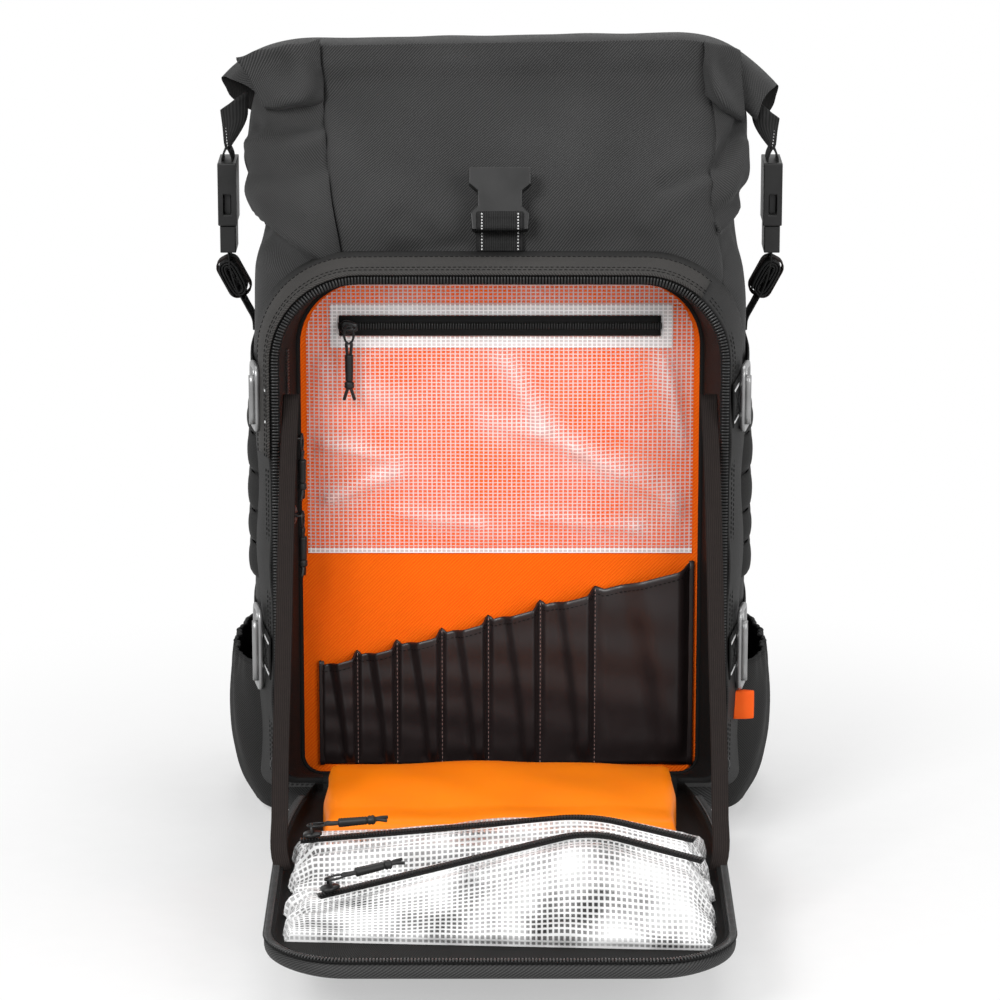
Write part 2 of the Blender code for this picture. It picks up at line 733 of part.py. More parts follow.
def slider(name, size, along, out, bar_way, place, carrier):
    """Zip slider: a body on the teeth with a bail, whose bar carries the pull."""
    length, width, thick = size
    across = out.cross(along)
    body_middle = place + out * (RUN + thick / 2)
    body = box(name, (length, width, thick), axes(along, across, body_middle), SLIDER_METAL, carrier)
    half = PULL_WIDE / 2 + RUN
    rise = PULL_EYE + RUN
    sink = thick / 2
    outer = [
        (-half - BAIL_LEG, -sink),
        (half + BAIL_LEG, -sink),
        (half + BAIL_LEG, rise + BAIL_BAR / 2),
        (-half - BAIL_LEG, rise + BAIL_BAR / 2),
    ]
    hole = [
        (-half, -sink / 2),
        (half, -sink / 2),
        (half, rise - BAIL_BAR / 2),
        (-half, rise - BAIL_BAR / 2),
    ]
    foot = place + out * (RUN + thick)
    way = bar_way.cross(out)
    frame = axes(bar_way, out, foot - way * BAIL_BAR / 2)
    bail = as_mesh(flat(name + "_bail", [outer, hole], BAIL_BAR, frame, SLIDER_METAL, carrier))
    combine(body, bail, "UNION")
    return foot + out * rise


def pull(name, length, hang, out, place, carrier):
    """Pull: an eye round the slider's bar and a sleeved cord."""
    turns = []
    sweep = math.asin(PULL_THICK / 2 / PULL_EYE)
    for step in range(TURNS + 1):
        angle = sweep + (2 * math.pi - 2 * sweep) * step / TURNS
        turns.append((PULL_EYE * math.cos(angle), PULL_EYE * math.sin(angle)))
    outline = [(length, -PULL_THICK / 2), (length, PULL_THICK / 2)] + turns
    width = hang.cross(out)
    frame = axes(hang, out, place - width * PULL_WIDE / 2)
    flat(name, [outline, circle(0, 0, PULL_HOLE)], PULL_WIDE, frame, CORD_BLACK, carrier)


def zip_set(name, size, along, out, bar_way, hang, length, place):
    """Slider and pull, each on its own joint."""
    carrier = pivot(name + "_slider", place)
    eye = slider(name + "_slider", size, along, out, bar_way, place, carrier)
    swing = pivot(name + "_pull", eye)
    swing.parent = carrier
    swing.matrix_parent_inverse = Matrix.Translation(carrier.location).inverted()
    pull(name + "_pull", length, hang, out, eye, swing)


def main_zip():
    """Teeth round the opening, with a slider parked at each foot."""
    half = ZIP_WIDTH / 2
    foot = OPENING_FLOOR + ZIP_FOOT
    top = OPENING_TOP + ZIP_MIDDLE - OPEN_HALF
    radius = OPENING_ROUND + ZIP_MIDDLE - OPEN_HALF
    outer = arch(ZIP_MIDDLE + half, foot, top + half, radius + half)
    inner = arch(ZIP_MIDDLE - half, foot, top - half, radius - half)
    flat("main_zip", [outer + inner[::-1]], ZIP_THICK, upright(TEETH_BACK), TEETH_BLACK)
    for side, sign in SIDES.items():
        place = Vector((sign * ZIP_MIDDLE, TEETH_FACE, OPENING_FLOOR + SLIDER_PARK))
        zip_set(side + "_main", BIG_SLIDER, Z, -Y, X, -Z, BIG_PULL, place)


def on_panel(x, reach, rise):
    """World place from across, distance from the hinge and height over the zip plane."""
    return Vector((x, HINGE_Y - reach, HINGE_Z + rise))


def panel_half(reach):
    """Half width of the panel's tray at a distance from the hinge."""
    share = max(0.0, 1 - reach / PANEL_NARROW_RUN)
    return PANEL_HALF - PANEL_NARROW * share ** 2


def panel_front(x, inset):
    """Distance from the hinge to the tray's front edge at x, inside it by an inset."""
    radius = PANEL_ROUND - inset
    over = max(0.0, abs(x) - PANEL_HALF + PANEL_ROUND)
    return PANEL_LENGTH - PANEL_ROUND + math.sqrt(max(radius ** 2 - over ** 2, 0.0))


def panel_side(grow, start):
    """Right-hand edge of the tray, grown outwards, from near the hinge round to its front."""
    steps = 6
    points = []
    for step in range(steps + 1):
        reach = start + (PANEL_NARROW_RUN - start) * step / steps
        points.append((panel_half(reach) + grow, reach))
    middle = PANEL_HALF - PANEL_ROUND
    radius = PANEL_ROUND + grow
    for step in range(CORNER_STEPS + 1):
        angle = math.radians(90 * step / CORNER_STEPS)
        reach = PANEL_LENGTH - PANEL_ROUND + radius * math.sin(angle)
        points.append((middle + radius * math.cos(angle), reach))
    return points


def panel(carrier):
    """Drop-down panel: a shallow tray with its half of the zip round the rim."""
    right = panel_side(0.0, GAP)
    outline = right + [(-x, reach) for x, reach in reversed(right)]
    low = [on_panel(x, reach, -PANEL_DEPTH) for x, reach in outline]
    high = [on_panel(x, reach, 0.0) for x, reach in outline]
    count = len(outline)
    faces = [tuple(range(count))]
    for index in range(count):
        after = (index + 1) % count
        faces.append((index, count + index, count + after, after))
    tray = mesh_piece("panel_tray", low + high, faces, BALLISTIC, carrier)
    thicken(tray, PANEL_WALL, -1)

    outer = panel_side(PANEL_LIP, PANEL_ZIP_START)
    inner = panel_side(PANEL_LIP - PANEL_ZIP_WIDTH, PANEL_ZIP_START)
    loop = outer + [(-x, r) for x, r in reversed(outer)] + [(-x, r) for x, r in inner] + inner[::-1]
    frame = axes(X, -Y, on_panel(0, 0, GAP + ZIP_THICK))
    flat("panel_zip", [loop], ZIP_THICK, frame, TEETH_BLACK, carrier)


def zip_route(across, along, rises):
    """Zip line through its ends, with the bend between them rounded."""
    places = zip(across, along, rises)
    start, bend, end = (Vector((MESH_HALF * x, PANEL_LENGTH * y, rise)) for x, y, rise in places)
    before = bend + (start - bend).normalized() * ZIP_BEND
    after = bend + (end - bend).normalized() * ZIP_BEND
    steps = 4
    route = [start]
    for step in range(steps + 1):
        share = step / steps
        route.append(before.lerp(bend, share).lerp(bend.lerp(after, share), share))
    route.append(end)
    return route


def route_at(route, x):
    """Distance from the hinge and height of a zip line at x."""
    for near, far in zip(route, route[1:]):
        if near.x <= x <= far.x:
            share = (x - near.x) / (far.x - near.x)
            return near.lerp(far, share)
    return route[0] if x < route[0].x else route[-1]


def pouch(name, route, other, forward, carrier):
    """Mesh pouch on the tray, highest along its zip.

    forward is 1 for the pouch away from the hinge and -1 for the one near it.
    """
    floor = PANEL_WALL + GAP - PANEL_DEPTH
    places = [-MESH_HALF, *(point.x for point in route), MESH_HALF]
    rings = []
    for index, x in enumerate(places):
        here = route_at(route, x)
        beside = route_at(other, x)
        middle = (here.y + beside.y) / 2 + forward * POUCH_APART / 2
        front_edge = min(MESH_END * PANEL_LENGTH, panel_front(x, MESH_ROUND))
        near = middle if forward > 0 else MESH_START * PANEL_LENGTH
        far = front_edge if forward > 0 else middle
        end = index in (0, len(places) - 1)
        top = here.z - TEETH / 2 - GAP
        if end:
            top = floor + POUCH_HEM + 0.25 * (top - floor - POUCH_HEM)
        back = max(here.y - RIDGE / 2, near + POUCH_LIP)
        front = min(here.y + RIDGE / 2, far - POUCH_LIP)
        edge = floor + POUCH_HEM
        slope = edge + 0.62 * (top - edge)
        profile = [
            (far, floor),
            (near, floor),
            (near, edge),
            (near + 0.55 * (back - near), slope),
            (back, top),
            (front, top),
            (far - 0.55 * (far - front), slope),
            (far, edge),
        ]
        rings.append([on_panel(x, reach, rise) for reach, rise in profile])
    loft(name, rings, WHITE_MESH, carrier)


def pouch_zip(name, route, carrier):
    """Row of teeth along the top of a pouch, with its slider near the left end."""
    middles = [on_panel(*point) for point in route]
    rings = []
    for index, here in enumerate(middles):
        before = middles[max(index - 1, 0)]
        after = middles[min(index + 1, len(middles) - 1)]
        way = (after - before).normalized()
        across = Z.cross(way).normalized() * POUCH_TEETH / 2
        rise = Z * TEETH / 2
        near = here - across
        far = here + across
        rings.append([far - rise, near - rise, near + rise, far + rise])
    loft(name + "_zip", rings, TEETH_BLACK, carrier)
    along = (middles[1] - middles[0]).normalized()
    across = Z.cross(along).normalized()
    out = along.cross(across).normalized()
    place = middles[0] + along * (SMALL_SLIDER[0] / 2 + POUCH_SLIDER_STOP) + out * TEETH / 2
    slide = pivot(name + "_slider", place)
    slide.parent = carrier
    slide.matrix_parent_inverse = Matrix.Translation(carrier.location).inverted()
    eye = slider(name + "_slider", SMALL_SLIDER, along, out, across, place, slide)
    swing = pivot(name + "_pull", eye)
    swing.parent = slide
    swing.matrix_parent_inverse = Matrix.Translation(slide.location).inverted()
    pull(name + "_pull", SMALL_PULL, along, out, eye, swing)


def orange_pouch(carrier):
    """Flat zipped pouch next to the hinge, thicker at its rear."""
    floor = PANEL_WALL + GAP - PANEL_DEPTH
    half = PANEL_HALF - ORANGE_INSET
    start = ORANGE_START * PANEL_LENGTH
    end = ORANGE_END * PANEL_LENGTH
    length = end - start
    rings = []
    stations = ((-half, 0.35), (-0.86 * half, 0.9), (0.0, 1.0), (0.86 * half, 0.9), (half, 0.35))
    for x, fullness in stations:
        tall = ORANGE_HEIGHT * fullness
        profile = [
            (end, floor),
            (start, floor),
            (start, floor + 0.4 * tall),
            (start + 0.12 * length, floor + 0.88 * tall),
            (start + 0.35 * length, floor + tall),
            (start + 0.75 * length, floor + 0.72 * tall),
            (end, floor + 0.35 * tall),
        ]
        rings.append([on_panel(x, reach, rise) for reach, rise in profile])
    loft("orange_pouch", rings, ORANGE_VINYL, carrier)


def hinge_strip():
    """Sewn strip under the opening along which the panel folds."""
    height = HINGE_DROP + PANEL_DEPTH
    middle = Vector((0, TEETH_BACK - ZIP_THICK / 2, OPENING_FLOOR - RUN - height / 2))
    box("hinge_strip", (HINGE_LENGTH, ZIP_THICK, height), Matrix.Translation(middle), GUSSET)


def retention_straps():
    """Tape from inside each side of the opening down to the side of the open panel."""
    for side, sign in SIDES.items():
        high = Vector((sign * (OPEN_HALF - STAY_INSET), FACE + STAY_DEEP, OPENING_FLOOR + STAY_HIGH))
        edge = PANEL_HALF + PANEL_LIP - STAY_WIDTH / 2
        low = on_panel(sign * edge, STAY_REACH * PANEL_LENGTH, GAP + ZIP_THICK + RUN)
        out = Vector((0, -1, 1))
        ribbon(side + "_retention_strap", [high, low], X, STAY_WIDTH, STAY_THICK, out, STAY_TAPE)


def past_corner(start, end, sign):
    """Points of a strap on the bag's front corner, or on the straight line if that is further out."""
    reach = BAG_CORNER + RUN
    points = []
    for step in range(CORNER_STEPS - 1, 0, -1):
        angle = math.radians(90 * step / CORNER_STEPS)
        y = BAG_CORNER - BAG_FRONT - reach * math.sin(angle)
        straight = start.lerp(end, (y - start.y) / (end.y - start.y))
        x = max(HALF - BAG_CORNER + reach * math.cos(angle), abs(straight.x))
        points.append(Vector((sign * x, y, start.z)))
    return points


def compression_straps():
    """Webbing from the zip edge round each side of the bag, and its metal hook."""
    for side, sign in SIDES.items():
        for level, z, tall in (("upper", UPPER_STRAP, UPPER_HOOK), ("lower", LOWER_STRAP, LOWER_HOOK)):
            share = STRAP_SETBACK / COMPARTMENT_DEPTH
            front = Vector((sign * (OPEN_HALF + RIM + FLARE * share + RUN), FACE + STRAP_SETBACK, z))
            corner = Vector((sign * (OPEN_HALF + RIM + FLARE + RUN), WALL_BACK, z))
            flat_side = Vector((sign * (HALF + RUN), BAG_CORNER - BAG_FRONT, z))
            rear = Vector((sign * (HALF + RUN), STRAP_BACK, z))
            path = [front, corner, *past_corner(corner, flat_side, sign), flat_side, rear]
            ribbon(side + "_" + level + "_strap", path, Z, WIDE_WEB, WEB, X * sign, WEBBING)

            along = (corner - front).normalized()
            out = along.cross(Z) * sign
            start = front + along * HOOK_START + out * (WEB + RUN + HOOK_THICK / 2)
            name = side + "_" + level + "_hook"
            carrier = pivot(name, start)
            middle = start + along * HOOK_LENGTH / 2
            frame = axes(along, out, middle)
            plate = box(name, (HOOK_LENGTH, HOOK_THICK, tall), frame, HOOK_METAL, carrier)
            soften(plate, HOOK_EDGE)


def side_pockets():
    """Open-topped stretch pocket low on each side."""
    span = SIDE_POCKET_FRONT + SIDE_POCKET_BACK
    columns = 10
    levels = ((0.0, 0.0), (0.12, 0.50), (0.35, 0.90), (0.60, 1.0), (0.85, 0.90), (1.0, 0.80))
    for side, sign in SIDES.items():
        rows = []
        for rise, fullness in levels:
            z = SIDE_POCKET_FOOT + (SIDE_POCKET_TOP - SIDE_POCKET_FOOT) * rise
            row = []
            for column in range(columns + 1):
                share = column / columns
                y = SIDE_POCKET_BACK - span * share
                bulge = SIDE_POCKET_BULGE * fullness * swell(share, 0.5)
                row.append((sign * (flank(y) + RUN + bulge), y, z))
            rows.append(row)
        thicken(grid(side + "_side_pocket", rows, BALLISTIC, flip=sign > 0), VINYL, 1)


def buckle_box(name, size, x, low, material, carrier=None):
    """Upright box beside the bag, from its lower end."""
    middle = Vector((x, MOUTH_MIDDLE, low + size[2] / 2))
    return box(name, size, Matrix.Translation(middle), material, carrier)


def side_buckles(roll):
    """Side-release buckles: sockets that hang from the roll, plugs on webbing from the bag."""
    tip = roll_underside(BUCKLE_OUT + WEB / 2) - GAP
    socket_top = tip - SOCKET_DROP
    socket_low = socket_top - SOCKET_LONG
    plug_top = socket_low - RUN
    for side, sign in SIDES.items():
        x = sign * BUCKLE_OUT
        tab = (WEB, SLIM_WEB, SOCKET_DROP - GAP)
        buckle_box(side + "_end_tab", tab, x, socket_top + GAP, WEBBING, roll)
        size = (SOCKET_THICK, SOCKET_WIDE, SOCKET_LONG)
        socket = buckle_box(side + "_socket", size, x, socket_low, BUCKLE, roll)
        size = (CAVITY_THICK, CAVITY_WIDE, CAVITY_LONG + RUN)
        cavity = buckle_box(side + "_cavity", size, x, socket_low - RUN, BUCKLE, roll)
        size = (CAVITY_THICK, 2 * SOCKET_WIDE, WINDOW_LONG)
        window = buckle_box(side + "_window", size, x, socket_low + WINDOW_LOW, BUCKLE, roll)
        combine(socket, cavity, "DIFFERENCE")
        combine(socket, window, "DIFFERENCE")

        size = (PLUG_THICK, PLUG_WIDE, PLUG_LONG)
        plug = buckle_box(side + "_plug", size, x, plug_top - PLUG_LONG, BUCKLE)
        inner = CAVITY_THICK - 2 * RUN
        size = (inner, TONGUE_WIDE, TONGUE_LONG + PLUG_LONG / 2)
        tongue = buckle_box(side + "_tongue", size, x, plug_top - PLUG_LONG / 2, BUCKLE)
        combine(plug, tongue, "UNION")
        for end, way in (("front", -1), ("rear", 1)):
            y = MOUTH_MIDDLE + way * (CAVITY_WIDE / 2 - RUN - PRONG_WIDE / 2)
            name = side + "_" + end + "_prong"
            middle = Vector((x, y, plug_top + GAP + PRONG_LONG / 2))
            carrier = pivot(name, middle)
            box(name, (inner, PRONG_WIDE, PRONG_LONG), Matrix.Translation(middle), BUCKLE, carrier)

        low = plug_top - PLUG_LONG - GAP
        tail = UPPER_STRAP + WIDE_WEB / 2 + TAIL_ABOVE
        seat = sign * (HALF + RUN + WEB / 2)
        bundle = low - KEEPER_LONG
        stations = [
            ((x, MOUTH_MIDDLE, low), SLIM_WEB, 2 * WEB),
            ((x, MOUTH_MIDDLE, low - KEEPER_NECK), SLIM_WEB, KEEPER_THICK),
            ((x, MOUTH_MIDDLE, bundle), SLIM_WEB, KEEPER_THICK),
            ((x, MOUTH_MIDDLE, bundle - KEEPER_FOOT), SLIM_WEB, WEB),
            ((seat, MOUTH_MIDDLE, bundle + 0.75 * (tail - bundle)), SLIM_WEB, WEB),
            ((seat, MOUTH_MIDDLE, tail), SLIM_WEB, WEB),
        ]
        bar(side + "_buckle_web", stations, Y, WEBBING)


def front_buckle():
    """Socket that stands on the front face above the compartment, on a short web."""
    lean = math.radians(FACE_LEAN)
    up = Vector((0, math.sin(lean), math.cos(lean)))
    out = Vector((0, -math.cos(lean), math.sin(lean)))
    low = OPENING_TOP + FLARE + RIM + 2 * RUN
    knee = OPENING_TOP + KNEE * COLLAR_RISE
    path = [(0, -bag_reach(z, 2) - RUN, z) for z in (low, knee)]
    ribbon("front_web", path, X, FRONT_WEB_WIDTH, WEB, out, WEBBING)

    seat = Vector((0, -bag_reach(knee, 2), knee)) + out * (WEB + 2 * RUN)
    foot = seat - up * 0.30 * FRONT_SOCKET_LONG
    wide = FRONT_SOCKET_WIDE / 2
    waist = FRONT_SOCKET_WAIST / 2
    long = FRONT_SOCKET_LONG
    half = [
        (wide - FRONT_SOCKET_TAPER, 0),
        (wide - FRONT_SOCKET_TAPER / 2, 0.26 * long),
        (waist, 0.38 * long),
        (waist, 0.62 * long),
        (wide, 0.74 * long),
        (wide, long),
    ]
    outline = half + [(-x, z) for x, z in reversed(half)]
    carrier = pivot("front_socket", foot + out * FRONT_SOCKET_THICK / 2)
    shape = flat("front_socket", [outline], FRONT_SOCKET_THICK, axes(X, up, foot), BUCKLE, carrier)
    socket = as_mesh(shape)
    middle = foot + up * (long - FRONT_CAVITY_DEEP / 2 + RUN) + out * FRONT_SOCKET_THICK / 2
    size = (2 * waist - 2 * FRONT_CAVITY_WALL, FRONT_CAVITY_DEEP + 2 * RUN, FRONT_CAVITY_THICK)
    cavity = box("front_cavity", size, axes(X, up, middle), BUCKLE, carrier)
    combine(socket, cavity, "DIFFERENCE")


def back_pad():
    """Padded back with a crown, drawn-in edges and sewn channels."""
    back = BAG_BACK + GAP
    half = PAD_WIDTH / 2
    columns = 16
    tall = PAD_HIGH - PAD_LOW
    levels = 15
    rings = []
    for level in range(levels + 1):
        rise = level / levels
        row = math.sin(math.pi * min(max(rise, 0.02), 0.98)) ** 0.35
        cross = abs(math.sin(3 * math.pi * rise)) ** 0.5
        draw = 1 - 0.05 * (1 - row)
        ring = [(-half * draw, back, PAD_LOW + rise * tall), (half * draw, back, PAD_LOW + rise * tall)]
        for column in range(columns + 1):
            share = 1 - column / columns
            crown = math.sin(math.pi * min(max(share, 0.03), 0.97)) ** 0.35
            channel = abs(math.sin(3 * math.pi * share)) ** 0.5
            depth = PAD_THICK * crown * row - PAD_CHANNEL * (1 - min(channel, cross)) * crown * row
            x = half * draw * (2 * share - 1)
            ring.append((x, back + max(depth, PAD_EDGE), PAD_LOW + rise * tall))
        rings.append(ring)
    loft("back_pad", rings, PAD_MESH)


def frame_sheet():
    """Stiff sheet inside the bag against its back."""
    middle = Vector((0, BAG_BACK - BAG_WALL - GAP - SHEET_THICK / 2, (SHEET_LOW + SHEET_HIGH) / 2))
    width = 2 * (HALF - BAG_CORNER - SHEET_MARGIN)
    size = (width, SHEET_THICK, SHEET_HIGH - SHEET_LOW)
    box("frame_sheet", size, Matrix.Translation(middle), SHEET_PLASTIC)


def shoulder_straps():
    """Padded straps on the back with crowned faces, and the webbing at their lower ends."""
    turns = 10
    for side, sign in SIDES.items():
        route = []
        for across, rise, out in zip(SHOULDER_ACROSS, SHOULDER_RISE, SHOULDER_OUT):
            y = BAG_BACK + out + STRAP_PAD_THICK / 2
            route.append(Vector((sign * across * HALF, y, rise * OPENING_TOP)))
        rings = []
        for index, here in enumerate(route):
            before = route[max(index - 1, 0)]
            after = route[min(index + 1, len(route) - 1)]
            way = (after - before).normalized()
            width = (X - way * X.dot(way)).normalized()
            rise = way.cross(width)
            taper = STRAP_TAPER if index == len(route) - 1 else 1.0
            ring = []
            for turn in range(turns):
                angle = 2 * math.pi * (turn + 0.5) / turns
                c = math.cos(angle)
                s = math.sin(angle)
                across = math.copysign(abs(c) ** 0.6, c) * STRAP_PAD_WIDE / 2 * taper
                up = math.copysign(abs(s) ** 0.8, s) * STRAP_PAD_THICK / 2
                ring.append(here + width * across + rise * up)
            rings.append(ring)
        loft(side + "_shoulder_strap", rings, PAD_MESH)

        end = route[-1]
        way = (route[-1] - route[-2]).normalized()
        start = end + way * 2 * GAP
        anchor = BAG_BACK + RUN + WEB / 2
        low = BASE_RISE
        bend_out, bend_back, bend_up = SHOULDER_WEB_BEND
        foot = start.x + sign * SHOULDER_WEB_SPREAD
        middles = [
            start,
            start + way * SHOULDER_WEB_LEAD,
            start + Vector((sign * bend_out, bend_back, bend_up)),
            Vector((foot, anchor, low + SHOULDER_WEB_SEAT)),
            Vector((foot, anchor, low)),
        ]
        stations = [(middle, SLIM_WEB, WEB) for middle in middles]
        bar(side + "_shoulder_web", stations, X, WEBBING)


def haul_handle():
    """Loop at the top of the back that hangs down until it is lifted."""
    face = bag_reach(HANDLE_HIGH, 3) + HANDLE_ROUND + 2 * RUN
    carrier = pivot("haul_handle", Vector((0, face, HANDLE_HIGH)))
    span = HANDLE_SPAN / 2
    low = HANDLE_HIGH - HANDLE_DROP
    grip = BAG_BACK + HANDLE_OUT
    half = [
        (span, face, HANDLE_HIGH),
        (span + HANDLE_BOW, face + 0.35 * (grip - face), HANDLE_HIGH - 0.25 * HANDLE_DROP),
        (span + HANDLE_BOW / 2, face + 0.70 * (grip - face), HANDLE_HIGH - 0.60 * HANDLE_DROP),
        (0.75 * span, face + 0.92 * (grip - face), HANDLE_HIGH - 0.90 * HANDLE_DROP),
    ]
    route = half + [(0.0, grip, low)] + [(-x, y, z) for x, y, z in reversed(half)]
    curve = bpy.data.curves.new("haul_handle", "CURVE")
    curve.dimensions = "3D"
    curve.bevel_depth = HANDLE_ROUND
    curve.bevel_resolution = 2
    curve.use_fill_caps = True
    spline = curve.splines.new("POLY")
    spline.points.add(len(route) - 1)
    for point, place in zip(spline.points, route):
        point.co = (*place, 1)
    keep(bpy.data.objects.new("haul_handle", curve), WEBBING, carrier)


def build():
    """Make every piece."""
    main_bag()
    frame_sheet()
    back_pad()
    shoulder_straps()
    haul_handle()
    front_compartment()
    rain_flap()
    organiser_wall()
    teeth = pocket_zip()
    place = teeth + X * (SMALL_SLIDER[0] / 2 + POCKET_SLIDER_STOP)
    zip_set("pocket", SMALL_SLIDER, X, -Y, X, -Z, SMALL_PULL, place)
    main_zip()
    hinge_strip()
    hinge = pivot("front_panel", Vector((0, HINGE_Y, HINGE_Z)))
    panel(hinge)
    orange_pouch(hinge)
    rear = zip_route(REAR_ZIP_ACROSS, REAR_ZIP_ALONG, REAR_ZIP_RISE)
    front = zip_route(FRONT_ZIP_ACROSS, FRONT_ZIP_ALONG, FRONT_ZIP_RISE)
    pouch("rear_pouch", rear, front, -1, hinge)
    pouch("front_pouch", front, rear, 1, hinge)
    pouch_zip("rear_pouch", rear, hinge)
    pouch_zip("front_pouch", front, hinge)
    retention_straps()
    compression_straps()
    side_pockets()
    roll = pivot("roll_top", Vector((0, MOUTH_MIDDLE, MOUTH)))
    roll_top(roll)
    side_buckles(roll)
    front_buckle()


build()
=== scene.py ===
# %% [markdown]
# # A roll-top backpack with a drop-down front
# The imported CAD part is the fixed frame. This file dresses it: cloth with folds and seams, zip
# teeth, clear vinyl, webbing and stitching. Every new piece is a numpy surface, either a grid of
# points worked out from two parameters or a profile carried along a path.

# %% Load the frame
import math

import bpy
import numpy as np
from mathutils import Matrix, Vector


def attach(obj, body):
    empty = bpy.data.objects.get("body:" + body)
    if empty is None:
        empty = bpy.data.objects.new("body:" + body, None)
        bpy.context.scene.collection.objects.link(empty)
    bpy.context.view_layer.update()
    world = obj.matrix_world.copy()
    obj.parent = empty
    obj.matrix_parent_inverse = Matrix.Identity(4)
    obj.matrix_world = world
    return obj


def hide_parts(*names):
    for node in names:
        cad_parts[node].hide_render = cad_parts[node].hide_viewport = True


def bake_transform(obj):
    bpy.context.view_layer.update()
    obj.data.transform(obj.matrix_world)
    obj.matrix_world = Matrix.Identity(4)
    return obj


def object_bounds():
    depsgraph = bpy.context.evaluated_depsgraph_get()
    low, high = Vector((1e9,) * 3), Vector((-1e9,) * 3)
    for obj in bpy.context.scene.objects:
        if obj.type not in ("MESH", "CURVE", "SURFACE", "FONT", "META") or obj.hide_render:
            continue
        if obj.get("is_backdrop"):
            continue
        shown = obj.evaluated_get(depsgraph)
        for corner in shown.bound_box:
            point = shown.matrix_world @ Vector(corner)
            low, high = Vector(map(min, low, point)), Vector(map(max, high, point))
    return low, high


SIDES = (("left", -1), ("right", 1))

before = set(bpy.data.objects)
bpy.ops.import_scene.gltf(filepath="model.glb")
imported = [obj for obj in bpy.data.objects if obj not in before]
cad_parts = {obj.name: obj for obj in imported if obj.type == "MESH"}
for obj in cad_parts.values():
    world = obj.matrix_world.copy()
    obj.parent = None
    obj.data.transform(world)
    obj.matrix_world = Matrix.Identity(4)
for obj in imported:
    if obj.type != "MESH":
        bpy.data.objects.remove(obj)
cad_low, cad_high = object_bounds()
print("CAD box", tuple(cad_low), tuple(cad_high))

# %% [markdown]
# ## Camera, light and floor
# The photo is a studio picture on white, taken from a little above. A long lens three metres away
# gives the same flat perspective. Three soft lamps and a grey sky light the pack at a plain level,
# and the floor is a pale sheet that catches the shadow.

# %% Camera
CAMERA_AIM = np.array([0.0, -0.165, 0.25])
CAMERA_FAR = 3.0
CAMERA_TILT = math.radians(15)
CAMERA_LENS = 161.2

scene = bpy.context.scene
scene.view_settings.view_transform = "Standard"
camera_data = bpy.data.cameras.new("camera")
camera_data.lens = CAMERA_LENS
camera = bpy.data.objects.new("camera", camera_data)
camera_back = np.array([0.0, -math.cos(CAMERA_TILT), math.sin(CAMERA_TILT)])
camera.location = CAMERA_AIM + camera_back * CAMERA_FAR
camera.rotation_euler = (math.pi / 2 - CAMERA_TILT, 0, 0)
scene.collection.objects.link(camera)
scene.camera = camera

# %% Lamps and sky
LAMPS = {
    "key": ((-1.3, -2.4, 2.0), 1.1, 66.0),
    "fill": ((1.7, -2.2, 1.3), 1.4, 36.0),
    "top": ((0.2, 0.7, 2.4), 1.4, 28.0),
}
SKY_LIGHT = 0.25


def lamp(name, place, size, power):
    """A square soft box that faces the middle of the pack."""
    data = bpy.data.lights.new(name, "AREA")
    data.size = size
    data.energy = power
    made = bpy.data.objects.new(name, data)
    made.location = place
    way = made.location.copy()
    way.x -= CAMERA_AIM[0]
    way.y -= CAMERA_AIM[1]
    way.z -= CAMERA_AIM[2]
    made.rotation_euler = way.to_track_quat("Z", "Y").to_euler()
    scene.collection.objects.link(made)


for lamp_name, (lamp_place, lamp_size, lamp_power) in LAMPS.items():
    lamp(lamp_name, lamp_place, lamp_size, lamp_power)

world = bpy.data.worlds.new("sky")
scene.world = world
world.use_nodes = True
sky = world.node_tree.nodes["Background"]
rays = world.node_tree.nodes.new("ShaderNodeLightPath")
seen = world.node_tree.nodes.new("ShaderNodeMath")
seen.operation = "MAXIMUM"
world.node_tree.links.new(rays.outputs["Is Camera Ray"], seen.inputs[0])
world.node_tree.links.new(rays.outputs["Is Transmission Ray"], seen.inputs[1])
mirrored = world.node_tree.nodes.new("ShaderNodeMath")
mirrored.operation = "MAXIMUM"
world.node_tree.links.new(seen.outputs[0], mirrored.inputs[0])
world.node_tree.links.new(rays.outputs["Is Glossy Ray"], mirrored.inputs[1])
level = world.node_tree.nodes.new("ShaderNodeMapRange")
level.inputs["To Min"].default_value = SKY_LIGHT
world.node_tree.links.new(mirrored.outputs[0], level.inputs["Value"])
world.node_tree.links.new(level.outputs[0], sky.inputs["Strength"])
sky.inputs["Color"].default_value = (1, 1, 1, 1)
print("lamps", list(LAMPS))

# %% [markdown]
# ## Writing shader maths as sums
# A finish is a small formula: weave plus wear plus dust. Wiring such a formula by hand hides it, so
# one class wraps a socket, and ordinary arithmetic on it adds the Math nodes.


